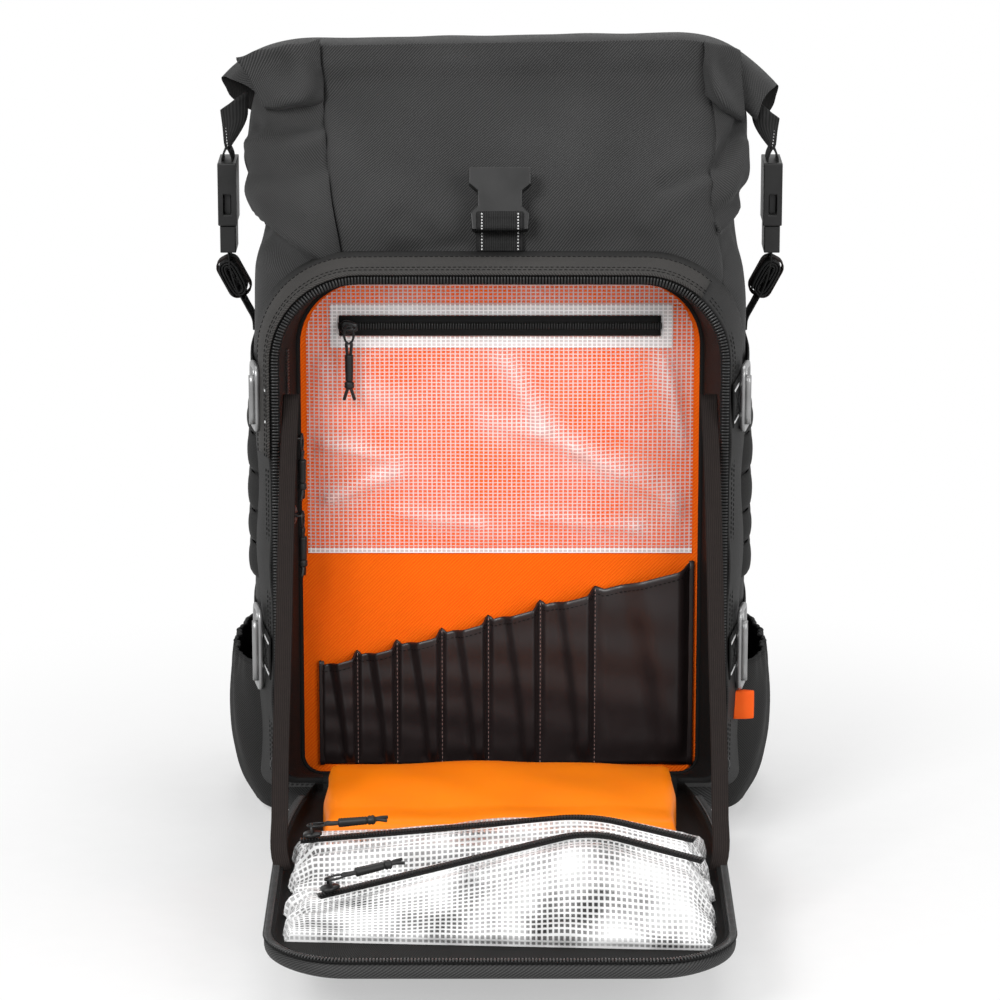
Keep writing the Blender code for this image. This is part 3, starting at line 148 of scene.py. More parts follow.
# %% A wire in a material
class Wire:
    """One output socket of a material. Arithmetic on it adds Math nodes."""

    def __init__(self, socket):
        self.socket = socket

    def node(self, kind, settings, inputs, out=0):
        """Any other node: its type, its settings, then the values or wires of its sockets."""
        tree = self.socket.id_data
        made = tree.nodes.new("ShaderNode" + kind)
        for name, value in settings.items():
            setattr(made, name, value)
        for name, value in inputs.items():
            if isinstance(value, Wire):
                tree.links.new(value.socket, made.inputs[name])
            else:
                made.inputs[name].default_value = value
        return Wire(made.outputs[out])

    def math(self, operation, *others):
        return self.node("Math", {"operation": operation}, dict(enumerate((self,) + others)))

    def __add__(self, other):
        return self.math("ADD", other)

    __radd__ = __add__

    def __sub__(self, other):
        return self.math("SUBTRACT", other)

    def __rsub__(self, other):
        return self.node("Math", {"operation": "SUBTRACT"}, {0: other, 1: self})

    def __mul__(self, other):
        return self.math("MULTIPLY", other)

    __rmul__ = __mul__

    def __truediv__(self, other):
        return self.math("DIVIDE", other)

    def wave(self):
        """0 to 1 and back once for each unit."""
        return (self * math.tau).math("SINE") * 0.5 + 0.5

    def thread(self, width, soft=0.06):
        """1 on a thread in the middle of each unit, 0 in the gap, with a soft edge."""
        away = (self.math("FRACT") - 0.5).math("ABSOLUTE")
        return self.node(
            "MapRange", {"interpolation_type": "SMOOTHSTEP"},
            {"Value": away, "From Min": width / 2 + soft, "From Max": width / 2 - soft})

    def between(self, low, high, soft):
        """1 from low to high, 0 outside, with soft edges."""
        ends = []
        for edge, side in ((low, soft), (high, -soft)):
            ends.append(self.node(
                "MapRange", {"interpolation_type": "SMOOTHSTEP"},
                {"Value": self, "From Min": edge - side, "From Max": edge + side}))
        return ends[0] * ends[1]

    def noise(self, scale, detail=2.0):
        return self.node("TexNoise", {}, {"Vector": self, "Scale": scale, "Detail": detail})

    def mix(self, first, second):
        """Colour from first to second as this wire goes from 0 to 1."""
        return self.node("Mix", {"data_type": "RGBA"}, {0: self, 6: first, 7: second}, out=2)

    def bump(self, depth, strength=1.0):
        return self.node("Bump", {}, {"Height": self, "Distance": depth, "Strength": strength})

    def split(self):
        """The three parts of a place."""
        return [self.node("SeparateXYZ", {}, {"Vector": self}, out=part) for part in range(3)]


def finish(name, paint, constants, coordinates="UV"):
    """Material whose paint is a formula of the place; constants sit on the shader's own sockets."""
    material = bpy.data.materials.new(name)
    material.use_nodes = True
    tree = material.node_tree
    shader = tree.nodes["Principled BSDF"]
    for socket, value in constants.items():
        shader.inputs[socket].default_value = value
    place = Wire(tree.nodes.new("ShaderNodeTexCoord").outputs[coordinates])
    for socket, value in paint(place).items():
        tree.links.new(value.socket, shader.inputs[socket])
    return material


# %% [markdown]
# ## The finishes
# Every cloth piece carries a UV map in metres, so a weave has its real pitch and follows the folds.
# Hard pieces read Object coordinates.


# %% Woven and coated cloth
def grey(level, tint=0.0):
    return (level * (1 + tint), level, level * (1 - tint), 1.0)


def twill(dark, light, pitch, depth, sheen=0.55):
    """Twill: diagonal ribs, each broken by the yarns that cross it, under slow patches of wear."""
    def paint(place):
        u, v, _ = place.split()
        rib = ((u - v) / pitch).wave()
        yarn = ((u + v) / (pitch * 0.8)).wave()
        patch = place.noise(14.0, 3.0)
        fibre = place.noise(900.0, 1.0)
        weave = rib * 0.62 + rib * yarn * 0.38
        return {
            "Base Color": (weave * 0.75 + patch * 0.45 + fibre * 0.2 - 0.3).mix(dark, light),
            "Roughness": sheen + patch * 0.2,
            "Normal": (weave + fibre * 0.25).bump(depth, 0.7),
        }
    return paint


def ribbed(dark, light, pitch, along=False):
    """Webbing and tape: fine ribs across the width with a woven edge."""
    def paint(place):
        u, v, _ = place.split()
        across = v if along else u
        rib = (across / pitch).wave()
        pick = ((u if along else v) / (pitch * 0.6)).wave()
        dust = place.noise(160.0, 2.0)
        return {
            "Base Color": (rib * 0.5 + pick * 0.25 + dust * 0.5 - 0.12).mix(dark, light),
            "Roughness": 0.62 + dust * 0.25,
            "Normal": (rib + pick * 0.5).bump(0.0003, 0.6),
        }
    return paint


def coated(dark, light, gloss):
    """Coated vinyl: smooth, with slow clouds and faint rubbed marks."""
    def paint(place):
        cloud = place.noise(18.0, 3.0)
        rub = place.noise(120.0, 4.0)
        return {
            "Base Color": (cloud * 0.8 + rub * 0.3 - 0.05).mix(dark, light),
            "Roughness": gloss + rub * 0.16,
            "Normal": (cloud + rub * 0.35).bump(0.0006, 0.25),
        }
    return paint


def scrim(pitch_u, pitch_v, thread, net_cover, haze, cloudy, white, bands=()):
    """Clear vinyl over a net: white threads both ways, hazy film between, doubled in the bands.

    An attribute on the mesh adds painted glare: extra white cover along creases, standing in for the lamps'
    reflection in the film.
    """
    def paint(place):
        u, v, _ = place.split()
        weft = (v / pitch_v).thread(thread)
        warp = (u / pitch_u).thread(thread * 0.9)
        net = weft.math("MAXIMUM", warp)
        cloud = place.noise(22.0, 2.0)
        film = (haze + (cloud - 0.5) * cloudy).math("MAXIMUM", 0.03)
        for left, right, low, high in bands:
            film = film + u.between(left, right, 0.0006) * v.between(low, high, 0.0006) * 0.6
        # painted glare: white cover read from a mesh attribute, standing in for the lamps' reflection along
        # creases
        painted_glare = place.node("Attribute", {"attribute_name": "painted_glare"}, {}, out=2)
        cover = (film + net * net_cover + painted_glare).math("MINIMUM", 1.0)
        return {
            "Base Color": cloud.mix(grey(white * 0.95), grey(white)),
            "Alpha": cover,
            "Roughness": 0.15 + net * 0.2,
            "Normal": (net + cloud * 2.0).bump(0.0004, 0.35),
        }
    return paint


MATT = {"Specular IOR Level": 0.10}
GLOSSY = {"Specular IOR Level": 0.35, "Coat Weight": 0.12, "Coat Roughness": 0.3}
BALLISTIC = finish("ballistic_nylon", twill(grey(0.018), grey(0.078), 0.0021, 0.0004), {
    **MATT, "Sheen Weight": 0.05, "Sheen Roughness": 0.5})
GUSSET = finish("gusset_nylon", twill(grey(0.010), grey(0.046, 0.02), 0.0018, 0.0003), MATT)
EAVE = finish("eave_nylon", twill(grey(0.018, 0.04), grey(0.090, 0.05), 0.0020, 0.0003), MATT)
LINING = finish("black_lining", twill(grey(0.004), grey(0.017, 0.04), 0.0016, 0.0002), MATT)
ORANGE = finish("orange_lining", twill((0.93, 0.100, 0.002, 1), (1.0, 0.205, 0.003, 1), 0.0026, 0.0003), MATT)
ORANGE_VINYL = finish("orange_vinyl", coated((1.0, 0.200, 0.002, 1), (1.0, 0.275, 0.003, 1), 0.38), {
    "Specular IOR Level": 0.2, "Coat Weight": 0.05, "Coat Roughness": 0.3})
TOOL_VINYL = finish("coated_vinyl", coated((0.009, 0.006, 0.006, 1), (0.026, 0.018, 0.018, 1), 0.30), GLOSSY)
WEBBING = finish("webbing", ribbed(grey(0.006), grey(0.034), 0.0015), MATT)
STAY_TAPE = finish("brown_tape", ribbed((0.008, 0.006, 0.0055, 1), (0.030, 0.023, 0.021, 1), 0.0013), MATT)
ZIP_TAPE = finish("zip_tape", ribbed(grey(0.004), grey(0.018), 0.0009), MATT)
CLEAR_BANDS = (
    (-0.1150, 0.1165, 0.3405, 0.3480),
    (-0.1150, 0.1165, 0.3630, 0.3705),
    (-0.1150, -0.1085, 0.3480, 0.3630),
    (0.1085, 0.1165, 0.3480, 0.3630),
    (-0.140, 0.140, 0.1950, 0.1995),
)
CLEAR = finish("clear_scrim_vinyl", scrim(0.0032, 0.0025, 0.30, 0.48, 0.07, 0.30, 0.95, CLEAR_BANDS), {
    "Specular IOR Level": 0.6})
NET = finish("white_mesh", scrim(0.0036, 0.0036, 0.40, 0.60, 0.36, 2.2, 0.95), {"Specular IOR Level": 0.5})


def spacer(dark, light, pitch):
    """Spacer mesh on the back: round holes in rows, each row half a step along."""
    def paint(place):
        x, y, z = place.split()
        first = ((x + y * 0.5) / pitch).wave() * (z / pitch).wave()
        second = ((x + y * 0.5) / pitch + 0.5).wave() * (z / pitch + 0.5).wave()
        holes = first.math("MAXIMUM", second)
        dust = place.noise(60.0, 3.0)
        return {
            "Base Color": (1.0 - holes * 0.9 + dust * 0.3 - 0.1).mix(dark, light),
            "Roughness": 0.7 + dust * 0.2,
            "Normal": (1.0 - holes).bump(0.0008, 0.8),
        }
    return paint


PAD_MESH = finish("spacer_mesh", spacer(grey(0.005), grey(0.036), 0.0040), MATT, "Object")


# %% Hard and small finishes
def moulded(dark, light, rough):
    """Moulded plastic, rubber or painted metal: fine grain and rubbed patches."""
    def paint(place):
        grain = place.noise(1400.0, 2.0)
        rub = place.noise(55.0, 4.0)
        return {
            "Base Color": (rub * 1.1 + grain * 0.25 - 0.25).mix(dark, light),
            "Roughness": rough + rub * 0.18,
            "Normal": (grain + rub).bump(0.0001, 0.3),
        }
    return paint


def hard(name, dark, light, rough, constants):
    return finish(name, moulded(dark, light, rough), constants, "Object")


SATIN = {"Specular IOR Level": 0.3}
BUCKLE = hard("buckle_plastic", grey(0.006), grey(0.024), 0.34, SATIN)
TEETH = hard("zip_teeth", grey(0.004), grey(0.022), 0.22, GLOSSY)
SLIDER = hard("slider_metal", grey(0.010), grey(0.050), 0.26, {"Metallic": 0.6, **SATIN})
PULL = hard("pull_cord", grey(0.005), grey(0.016), 0.34, SATIN)
HOOK = hard("hook_metal", grey(0.20), grey(0.40), 0.30, {"Metallic": 0.85})
FRAME_PLASTIC = hard("frame_plastic", grey(0.030), grey(0.060), 0.5, SATIN)
WHITE_THREAD = hard("reflective_thread", grey(0.62), grey(0.85), 0.4, {})
BLACK_THREAD = hard("black_thread", grey(0.004), grey(0.012), 0.6, MATT)
PINK_THREAD = hard("pink_thread", (0.36, 0.20, 0.18, 1), (0.55, 0.36, 0.33, 1), 0.6, MATT)
TAB_ORANGE = hard("orange_tab", (0.95, 0.10, 0.01, 1), (1.0, 0.16, 0.02, 1), 0.5, MATT)


def white_ground(name, near, far, edge):
    """Pale floor that the camera and mirrors see as white, fully so away from the pack.

    Near the pack only part of that white is mixed in, so the floor keeps the shadow.
    """
    material = finish(
        name, moulded(grey(0.86), grey(0.90), 0.8), {**MATT, "Emission Color": (1, 1, 1, 1)}, "Object")
    tree = material.node_tree
    ray = tree.nodes.new("ShaderNodeLightPath")
    seen = Wire(ray.outputs["Is Camera Ray"])
    for other in ("Is Glossy Ray", "Is Transmission Ray"):
        seen = seen.math("MAXIMUM", Wire(ray.outputs[other]))
    x, y, _ = Wire(tree.nodes.new("ShaderNodeTexCoord").outputs["Object"]).split()
    y = y + 0.165
    away = (x * x + y * y).math("SQRT")
    white = away.node("MapRange", {"interpolation_type": "SMOOTHSTEP"}, {
        "Value": away, "From Min": near, "From Max": far, "To Min": edge})
    glow = tree.nodes.new("ShaderNodeEmission")
    both = tree.nodes.new("ShaderNodeMixShader")
    tree.links.new((seen * white).socket, both.inputs[0])
    tree.links.new(tree.nodes["Principled BSDF"].outputs[0], both.inputs[1])
    tree.links.new(glow.outputs[0], both.inputs[2])
    tree.links.new(both.outputs[0], tree.nodes["Material Output"].inputs["Surface"])
    return material


PALE_FLOOR = white_ground("pale_floor", 0.20, 0.65, 0.45)
print("finishes", len(bpy.data.materials))

# %% [markdown]
# ## Grids and paths
# Two kinds of surface make everything. A skin is a grid of points whose rows and columns become
# quads. A sweep carries a flat profile along a path. Small repeats, such as zip teeth and stitches,
# are one little shape copied to many places with one array product.


# %% Surfaces from arrays
def unit(vectors):
    return vectors / np.maximum(np.linalg.norm(vectors, axis=-1, keepdims=True), 1e-12)


def lengths(points, axis):
    """Running length along one axis of a grid, averaged over the other."""
    steps = np.linalg.norm(np.diff(points, axis=axis), axis=-1).mean(axis=1 - axis)
    return np.concatenate([[0.0], np.cumsum(steps)])


def skin(points, ring=False, caps=False, flip=False, loop=False):
    """Quads between the rows and columns of a grid. A ring joins the last column to the first.

    A loop joins the last row to the first. caps closes a ring's first row, its last row or both.
    The map holds running lengths in metres.
    """
    points = np.asarray(points, float)
    rows, columns = points.shape[:2]
    measured = points
    if ring:
        measured = np.concatenate([measured, measured[:, :1]], axis=1)
    if loop:
        measured = np.concatenate([measured, measured[:1]], axis=0)
    v, u = lengths(measured, 0), lengths(measured, 1)
    row, column = np.meshgrid(np.arange(len(v) - 1), np.arange(len(u) - 1), indexing="ij")
    corner_rows = np.stack([row, row, row + 1, row + 1], -1).reshape(-1, 4)
    corner_columns = np.stack([column, column + 1, column + 1, column], -1).reshape(-1, 4)
    quads = corner_rows % rows * columns + corner_columns % columns
    places = np.stack([u[corner_columns], v[corner_rows]], -1)
    if flip:
        quads, places = quads[:, ::-1], places[:, ::-1]
    faces = quads.tolist()
    maps = places.reshape(-1, 2)
    ends = {"start": list(range(columns))[::-1], "end": list(range((rows - 1) * columns, rows * columns))}
    for end in {False: (), True: ("start", "end")}.get(caps, (caps,)):
        faces.append(ends[end][::-1] if flip else ends[end])
        maps = np.concatenate([maps, np.tile([[0.0, 0.0]], (columns, 1))])
    return points.reshape(-1, 3), faces, maps


def mapped(shape, first, second):
    """The same skin with its map taken from two of the coordinates, for a flat sheet."""
    points, faces, _ = shape
    return points, faces, points[np.concatenate(faces)][:, [first, second]]


def repeat(shape, places, axes):
    """Copies of a small shape: each point is place + x*axis0 + y*axis1 + z*axis2."""
    points, faces, maps = shape
    count = len(points)
    copies = places[:, None, :] + np.einsum("kc,ncd->nkd", points, axes)
    shifted = []
    for copy in range(len(places)):
        shifted += [[index + copy * count for index in face] for face in faces]
    return copies.reshape(-1, 3), shifted, np.tile(maps, (len(places), 1))


def piece(name, skins, material, body, stands_for=(), thick=0.0, smooth=0, inside=-1.0):
    """One object from one or more skins, riding on a named body, or left fixed in place for any other body.
    """
    skins = [skins] if isinstance(skins, tuple) else skins
    starts = np.cumsum([0] + [len(points) for points, _, _ in skins])
    faces = []
    for start, (_, part, _) in zip(starts, skins):
        faces += [[index + int(start) for index in face] for face in part]
    mesh = bpy.data.meshes.new(name)
    mesh.from_pydata(np.concatenate([part[0] for part in skins]).tolist(), [], faces)
    weave = mesh.uv_layers.new(name="weave")
    weave.data.foreach_set("uv", np.concatenate([part[2] for part in skins]).astype(np.float32).ravel())
    mesh.materials.append(material)
    mesh.shade_smooth()
    made = bpy.data.objects.new(name, mesh)
    scene.collection.objects.link(made)
    if thick:
        wall = made.modifiers.new("wall", "SOLIDIFY")
        wall.thickness = thick
        wall.offset = inside
    if smooth:
        rounder = made.modifiers.new("rounder", "SUBSURF")
        rounder.levels = smooth
        rounder.render_levels = smooth
    if isinstance(body, str):
        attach(made, body)
    else:
        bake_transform(made)
    if stands_for:
        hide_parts(*stands_for)
    return made


# %% Paths and profiles
def spaced(path, count=None, step=None):
    """The same path with evenly spaced points, by count or by step."""
    path = np.asarray(path, float)
    reach = np.concatenate([[0.0], np.cumsum(np.linalg.norm(np.diff(path, axis=0), axis=1))])
    if step:
        count = max(int(round(reach[-1] / step)) + 1, 2)
    at = np.linspace(0.0, reach[-1], count)
    return np.stack([np.interp(at, reach, path[:, part]) for part in range(3)], -1)


def follow(at, knots, values):
    """Smooth line through values at knots: in each span a cubic that keeps the values' slopes."""
    knots, values = np.asarray(knots, float), np.asarray(values, float)
    slopes = np.gradient(values, knots, axis=0)
    span = np.clip(np.searchsorted(knots, at, side="right") - 1, 0, len(knots) - 2)
    size = knots[span + 1] - knots[span]
    t = (at - knots[span]) / size
    if values.ndim == 2:
        size, t = size[:, None], t[:, None]
    return (
        values[span] * (1 + 2 * t) * (1 - t) ** 2
        + values[span + 1] * t * t * (3 - 2 * t)
        + slopes[span] * size * t * (1 - t) ** 2
        - slopes[span + 1] * size * t * t * (1 - t)
    )


def curve(points, count):
    """Smooth path through a few points, by running chord length."""
    points = np.asarray(points, float)
    reach = np.concatenate([[0.0], np.cumsum(np.linalg.norm(np.diff(points, axis=0), axis=1))])
    return follow(np.linspace(0.0, reach[-1], count), reach, points)


def frames(path, out):
    """Way, side and rise at each point of a path: rise leans to out, side is square to both."""
    way = unit(np.gradient(np.asarray(path, float), axis=0))
    out = np.broadcast_to(np.asarray(out, float), way.shape)
    side = unit(np.cross(way, out))
    return way, side, np.cross(side, way)


def sweep(path, profile, out, scale=None, caps=True, loop=False):
    """A closed profile carried along a path: point = path + x*side + y*rise, scaled on the way."""
    around = np.concatenate([path[-1:], path, path[:1]]) if loop else path
    _, side, rise = frames(around, out)
    if loop:
        side, rise = side[1:-1], rise[1:-1]
    size = np.ones((len(path), 2)) if scale is None else np.asarray(scale, float)
    across = profile[None, :, :1] * size[:, None, :1] * side[:, None, :]
    up = profile[None, :, 1:] * size[:, None, 1:] * rise[:, None, :]
    return skin(
        np.asarray(path)[:, None, :] + across + up, ring=True, caps=caps and not loop, flip=True,
        loop=loop)


def round_profile(width, height, turns=12, power=1.0):
    """Ellipse, or with a power below 1 a box with round corners, counter-clockwise."""
    angle = np.arange(turns) * math.tau / turns
    c, s = np.cos(angle), np.sin(angle)
    x = np.sign(c) * np.abs(c) ** power * width / 2
    y = np.sign(s) * np.abs(s) ** power * height / 2
    return np.stack([x, y], -1)


def tube(path, thick, out=(0.0, 0.0, 1.0), turns=8, scale=None):
    return sweep(path, round_profile(thick, thick, turns), out, scale)


def ribbon(path, width, thick, out):
    """Webbing: a flat strap with round edges along a path, its face towards out."""
    return sweep(path, round_profile(width, thick, 12, 0.35), out)


def bead(length, width, height):
    """Small capsule along its first axis, a few dozen faces, for teeth and stitches."""
    along = np.array([-0.5, -0.42, -0.2, 0.2, 0.42, 0.5]) * length
    fat = np.array([0.35, 0.85, 1.0, 1.0, 0.85, 0.35])
    ring = round_profile(width, height, 6)
    points = np.concatenate([
        np.broadcast_to(along[:, None, None], (6, 6, 1)),
        fat[:, None, None] * ring[None, :, :]], axis=-1)
    return skin(points, ring=True, caps=True)


def stitches(path, out, length=0.0022, pitch=0.0034, thick=0.0006):
    """A seam: one thread bead for each stitch along a path."""
    line = spaced(path, step=pitch)
    way, side, rise = frames(line, out)
    return repeat(bead(length, thick, thick), line, np.stack([way, rise, side], 1))


def zip_chain(path, out, width=0.0048, pitch=0.0021):
    """A row of coil teeth: one bead across the path for each turn of the coil."""
    line = spaced(path, step=pitch)
    way, side, rise = frames(line, out)
    return repeat(bead(width, pitch * 0.78, 0.0020), line, np.stack([side, way, rise], 1))


def stacked(*parts):
    """Points from three arrays of one shape."""
    return np.stack(np.broadcast_arrays(*parts), -1)


def smoothstep(value, low, high):
    t = np.clip((value - low) / (high - low), 0.0, 1.0)
    return t * t * (3 - 2 * t)


print("surface helpers ready")

# %% [markdown]
# ## Floor
# One pale sheet, far wider than the view, so that no edge shows.

# %% Floor
FLOOR_HALF = 9.0
floor_points, floor_faces, _ = skin(
    stacked(
        np.linspace(-FLOOR_HALF, FLOOR_HALF, 3)[None, :],
        np.linspace(-FLOOR_HALF, FLOOR_HALF, 3)[:, None], -0.0004))
floor_mesh = bpy.data.meshes.new("floor")
floor_mesh.from_pydata(floor_points.tolist(), [], floor_faces)
floor_mesh.materials.append(PALE_FLOOR)
floor = bpy.data.objects.new("floor", floor_mesh)
scene.collection.objects.link(floor)
floor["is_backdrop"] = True

# %% [markdown]
# ## The bag's cloth
# The bag is sewn from a front face, a wide panel that goes round the sides and back, and a base.
# The two seams beside the front face show in the photo, so the cloth is built as these same panels.
# Each is a grid on the bag's round-cornered sections, pushed in and out along its normal by folds.
# The collar crosses the joint that lifts the roll; both panels are left fixed in place over it.

# %% Sections of the bag
BAG_LEVELS = [0.0, 0.012, 0.040, 0.160, 0.330, 0.400, 0.4302, 0.4648, 0.4950, 0.508]
BAG_FRONT = [0.098, 0.100, 0.100, 0.100, 0.100, 0.100, 0.0920, 0.0679, 0.0401, 0.0285]
BAG_BACK = [0.082, 0.089, 0.092, 0.092, 0.092, 0.088, 0.0840, 0.0599, 0.0321, 0.0190]
SIDE_LEVELS = [0.0, 0.012, 0.040, 0.160, 0.330, 0.385, 0.424, 0.440, 0.454, 0.473, 0.495, 0.508]
LEFT_SIDE = [0.154, 0.166, 0.170, 0.170, 0.170, 0.1665, 0.1640, 0.1725, 0.1765, 0.1735, 0.171, 0.168]
RIGHT_SIDE = [0.154, 0.166, 0.170, 0.170, 0.170, 0.1660, 0.1625, 0.1660, 0.1700, 0.1705, 0.170, 0.168]
SEAM_LEVELS = [0.0, 0.370, 0.384, 0.449, 0.481, 0.510, 0.540]
LEFT_SEAM = [0.105, 0.105, 0.105, 0.1155, 0.119, 0.122, 0.124]
RIGHT_SEAM = [0.125, 0.150, 0.152, 0.143, 0.1475, 0.143, 0.140]
MOUTH = 0.508
MOUTH_HALF = 0.168
COLLAR_FOOT = 0.400
CORNER = 0.045
COLLAR_BLEND = ("bag", "roll_top", (0, 0, 0.468), (0, 0, MOUTH - 0.006))
FLAP_FOOT = 0.3975
FLAP_SLOPE = 0.58
ROLL_HALF = 0.193
ROLL_FLAT = 0.120
LEFT_DROOP = 0.024
RIGHT_DROOP = 0.036


def droop(x):
    """How far the rolled mouth hangs down at x: a power of the share outside its level middle."""
    share = np.clip((np.abs(x) - ROLL_FLAT) / (ROLL_HALF - ROLL_FLAT), 0.0, 1.0)
    return np.where(np.asarray(x) < 0, LEFT_DROOP * share ** 3.2, RIGHT_DROOP * share ** 2.2)


def hang(z, x):
    """Height of the cloth after the mouth's droop has pulled the collar down."""
    lift = np.clip((z - COLLAR_FOOT) / (MOUTH - COLLAR_FOOT), 0.0, 1.0) ** 2
    return z - lift * droop(x)


def section(z):
    """Front reach, back reach and corner radius of the bag at a height."""
    front, back = follow(z, BAG_LEVELS, BAG_FRONT), follow(z, BAG_LEVELS, BAG_BACK)
    return front, back, np.minimum(CORNER, 0.45 * (front + back))


def puff(points, amount, sign=1.0):
    """Move a grid's points along their normals, the cross product of its two slopes."""
    normal = unit(np.cross(np.gradient(points, axis=1), np.gradient(points, axis=0)))
    return points + sign * normal * amount[..., None]


def fold(x, z, start, end, width, depth):
    """Ridge, or valley for a depth below 0, along a line from start to end in the front view."""
    start, end = np.array(start), np.array(end)
    way = end - start
    t = np.clip(((x - start[0]) * way[0] + (z - start[1]) * way[1]) / (way @ way), 0.0, 1.0)
    away = np.hypot(x - start[0] - t * way[0], z - start[1] - t * way[1])
    return depth * np.exp(-(away / width) ** 2)


def soft_waves(x, z, size):
    """Slack cloth: a few slow waves that cross each other."""
    crossing = np.sin(41 * x + 23 * z + 0.7) * np.sin(17 * x - 52 * z)
    return size * (crossing + 0.5 * np.sin(73 * x - 61 * z + 1.9))


# %% Panel round the sides and back
def front_corner(z, side_half, seam, t):
    """From the seam outwards: straight along the front, then round the corner to the side."""
    front, _, corner = section(z)
    turn = np.arcsin(np.clip((seam - side_half + corner) / corner, 0.0, 1.0))
    straight = np.maximum(side_half - corner - seam, 0.0)
    reach = t * (straight + corner * (math.pi / 2 - turn))
    angle = turn + np.maximum(reach - straight, 0.0) / corner
    on_straight = reach < straight
    x = np.where(on_straight, seam + reach, side_half - corner + corner * np.sin(angle))
    y = np.where(on_straight, -front, -front + corner - corner * np.cos(angle))
    return x, y


panel_z = np.concatenate([np.linspace(0.0, 0.325, 34), np.linspace(0.331, MOUTH - 0.0006, 76)])[:, None]
left_half = follow(panel_z, SIDE_LEVELS, LEFT_SIDE)
right_half = follow(panel_z, SIDE_LEVELS, RIGHT_SIDE)
panel_front, panel_back, panel_corner = section(panel_z)
corner_t = np.linspace(0.0, 1.0, 22)[None, :]
side_t = np.linspace(0.0, 1.0, 26)[None, 1:-1]
back_angle = np.linspace(0.0, math.pi / 2, 12)[None, :]
left_x, left_y = front_corner(panel_z, left_half, follow(panel_z, SEAM_LEVELS, LEFT_SEAM), corner_t)
right_x, right_y = front_corner(panel_z, right_half, follow(panel_z, SEAM_LEVELS, RIGHT_SEAM), corner_t)
side_y = (panel_corner - panel_front) + (panel_back + panel_front - 2 * panel_corner) * side_t
back_bulge = panel_corner * np.sin(back_angle)
round_x = panel_corner * (1 - np.cos(back_angle))
middle_x = np.linspace(-1.0, 1.0, 42)[None, 1:-1]
panel_x = np.concatenate([
    -left_x, -left_half + 0 * side_t, -left_half + round_x,
    np.where(middle_x < 0, left_half - panel_corner, right_half - panel_corner) * middle_x,
    (right_half - round_x)[:, ::-1], right_half + 0 * side_t, right_x[:, ::-1]], axis=1)
panel_y = np.concatenate([
    left_y, side_y, panel_back - panel_corner + back_bulge, panel_back + 0 * middle_x,
    (panel_back - panel_corner + back_bulge)[:, ::-1], side_y[:, ::-1], right_y[:, ::-1]], axis=1)
wrap = stacked(panel_x, panel_y, hang(panel_z, panel_x))

x, y, z = wrap[..., 0], wrap[..., 1], wrap[..., 2]
flap = z - (FLAP_FOOT + FLAP_SLOPE * (np.abs(x) - 0.119))
left_flap = (0.0060 * np.exp(-(flap / 0.020) ** 2) * smoothstep(flap, -0.0010, 0.0020)
             - 0.0050 * np.exp(-(flap / 0.016) ** 2) * smoothstep(-flap, -0.0005, 0.0025))
right_flap = (0.0030 * np.exp(-(flap / 0.018) ** 2) * smoothstep(flap, -0.002, 0.004)
              - 0.0026 * np.exp(-(flap / 0.012) ** 2) * smoothstep(-flap, -0.001, 0.003))
gusset = smoothstep(z, 0.36, 0.40) * smoothstep(np.abs(x), 0.10, 0.125) * smoothstep(-y, 0.004, 0.028)
GUSSET_DEEPER = 1.4
GUSSET_FOLDS = (
    ((-0.170, 0.478), (-0.120, 0.487), 0.0075, -0.0040),
    ((-0.172, 0.468), (-0.124, 0.474), 0.0070, 0.0030),
    ((-0.176, 0.449), (-0.122, 0.462), 0.0085, -0.0042),
    ((-0.166, 0.415), (-0.136, 0.392), 0.0080, -0.0030),
    ((-0.131, 0.430), (-0.112, 0.386), 0.0060, 0.0022),
    ((0.168, 0.482), (0.150, 0.460), 0.0060, -0.0045),
    ((0.166, 0.468), (0.156, 0.440), 0.0055, 0.0028),
    ((0.164, 0.436), (0.148, 0.428), 0.0060, -0.0030),
    ((0.166, 0.412), (0.152, 0.392), 0.0080, -0.0022),
)
wrap_push = gusset * np.where(x < 0, left_flap, right_flap)
for start, end, width, depth in GUSSET_FOLDS:
    wrap_push = wrap_push + gusset * fold(x, z, start, end, width, GUSSET_DEEPER * depth)
wrap_push = wrap_push + soft_waves(x + 0.6 * y, z, 0.0009) * smoothstep(z, 0.01, 0.05)
wrap_push = (
    wrap_push
    + 0.0008 * np.sin(160 * y + 8) * smoothstep(z, 0.40, 0.46) * smoothstep(np.abs(x), 0.15, 0.165))
bag_panel = piece(
    "bag_side_and_back", skin(puff(wrap, wrap_push, -1.0), flip=True), BALLISTIC,
    COLLAR_BLEND,
    ("main_bag",), thick=0.0022)

# %% Front face and base
CREASE = 0.5365
CREASE_TILT = 0.016
FACE_FOOT = 0.378
FACE_LEVELS = [0.0, 0.330, 0.400, 0.4302, 0.4648, 0.4950, 0.508, 0.524, 0.536, 0.545]
FACE_REACH = [0.100, 0.100, 0.100, 0.0922, 0.0682, 0.0408, 0.0300, 0.0285, 0.0272, 0.0265]
FACE_DEEPER = 1.7
FACE_FOLDS = (
    ((-0.066, 0.428), (-0.050, 0.418), 0.008, -0.0018),
    ((-0.070, 0.404), (-0.024, 0.410), 0.007, -0.0022),
    ((-0.100, 0.470), (-0.040, 0.520), 0.020, 0.0020),
    ((-0.112, 0.500), (-0.060, 0.440), 0.014, -0.0018),
    ((0.142, 0.456), (0.112, 0.448), 0.0055, -0.0028),
    ((0.140, 0.450), (0.098, 0.424), 0.0080, 0.0022),
    ((0.030, 0.520), (0.110, 0.440), 0.022, 0.0020),
    ((0.060, 0.410), (0.130, 0.440), 0.012, -0.0018),
)
face_rise = np.linspace(0.0, 1.0, 84)[:, None]
face_share = np.linspace(0.0, 1.0, 96)[None, :]
face_z = FACE_FOOT + (CREASE - FACE_FOOT) * face_rise
left_edge = -follow(face_z, SEAM_LEVELS, LEFT_SEAM)
right_edge = follow(face_z, SEAM_LEVELS, RIGHT_SEAM)
face_x = left_edge + (right_edge - left_edge) * face_share
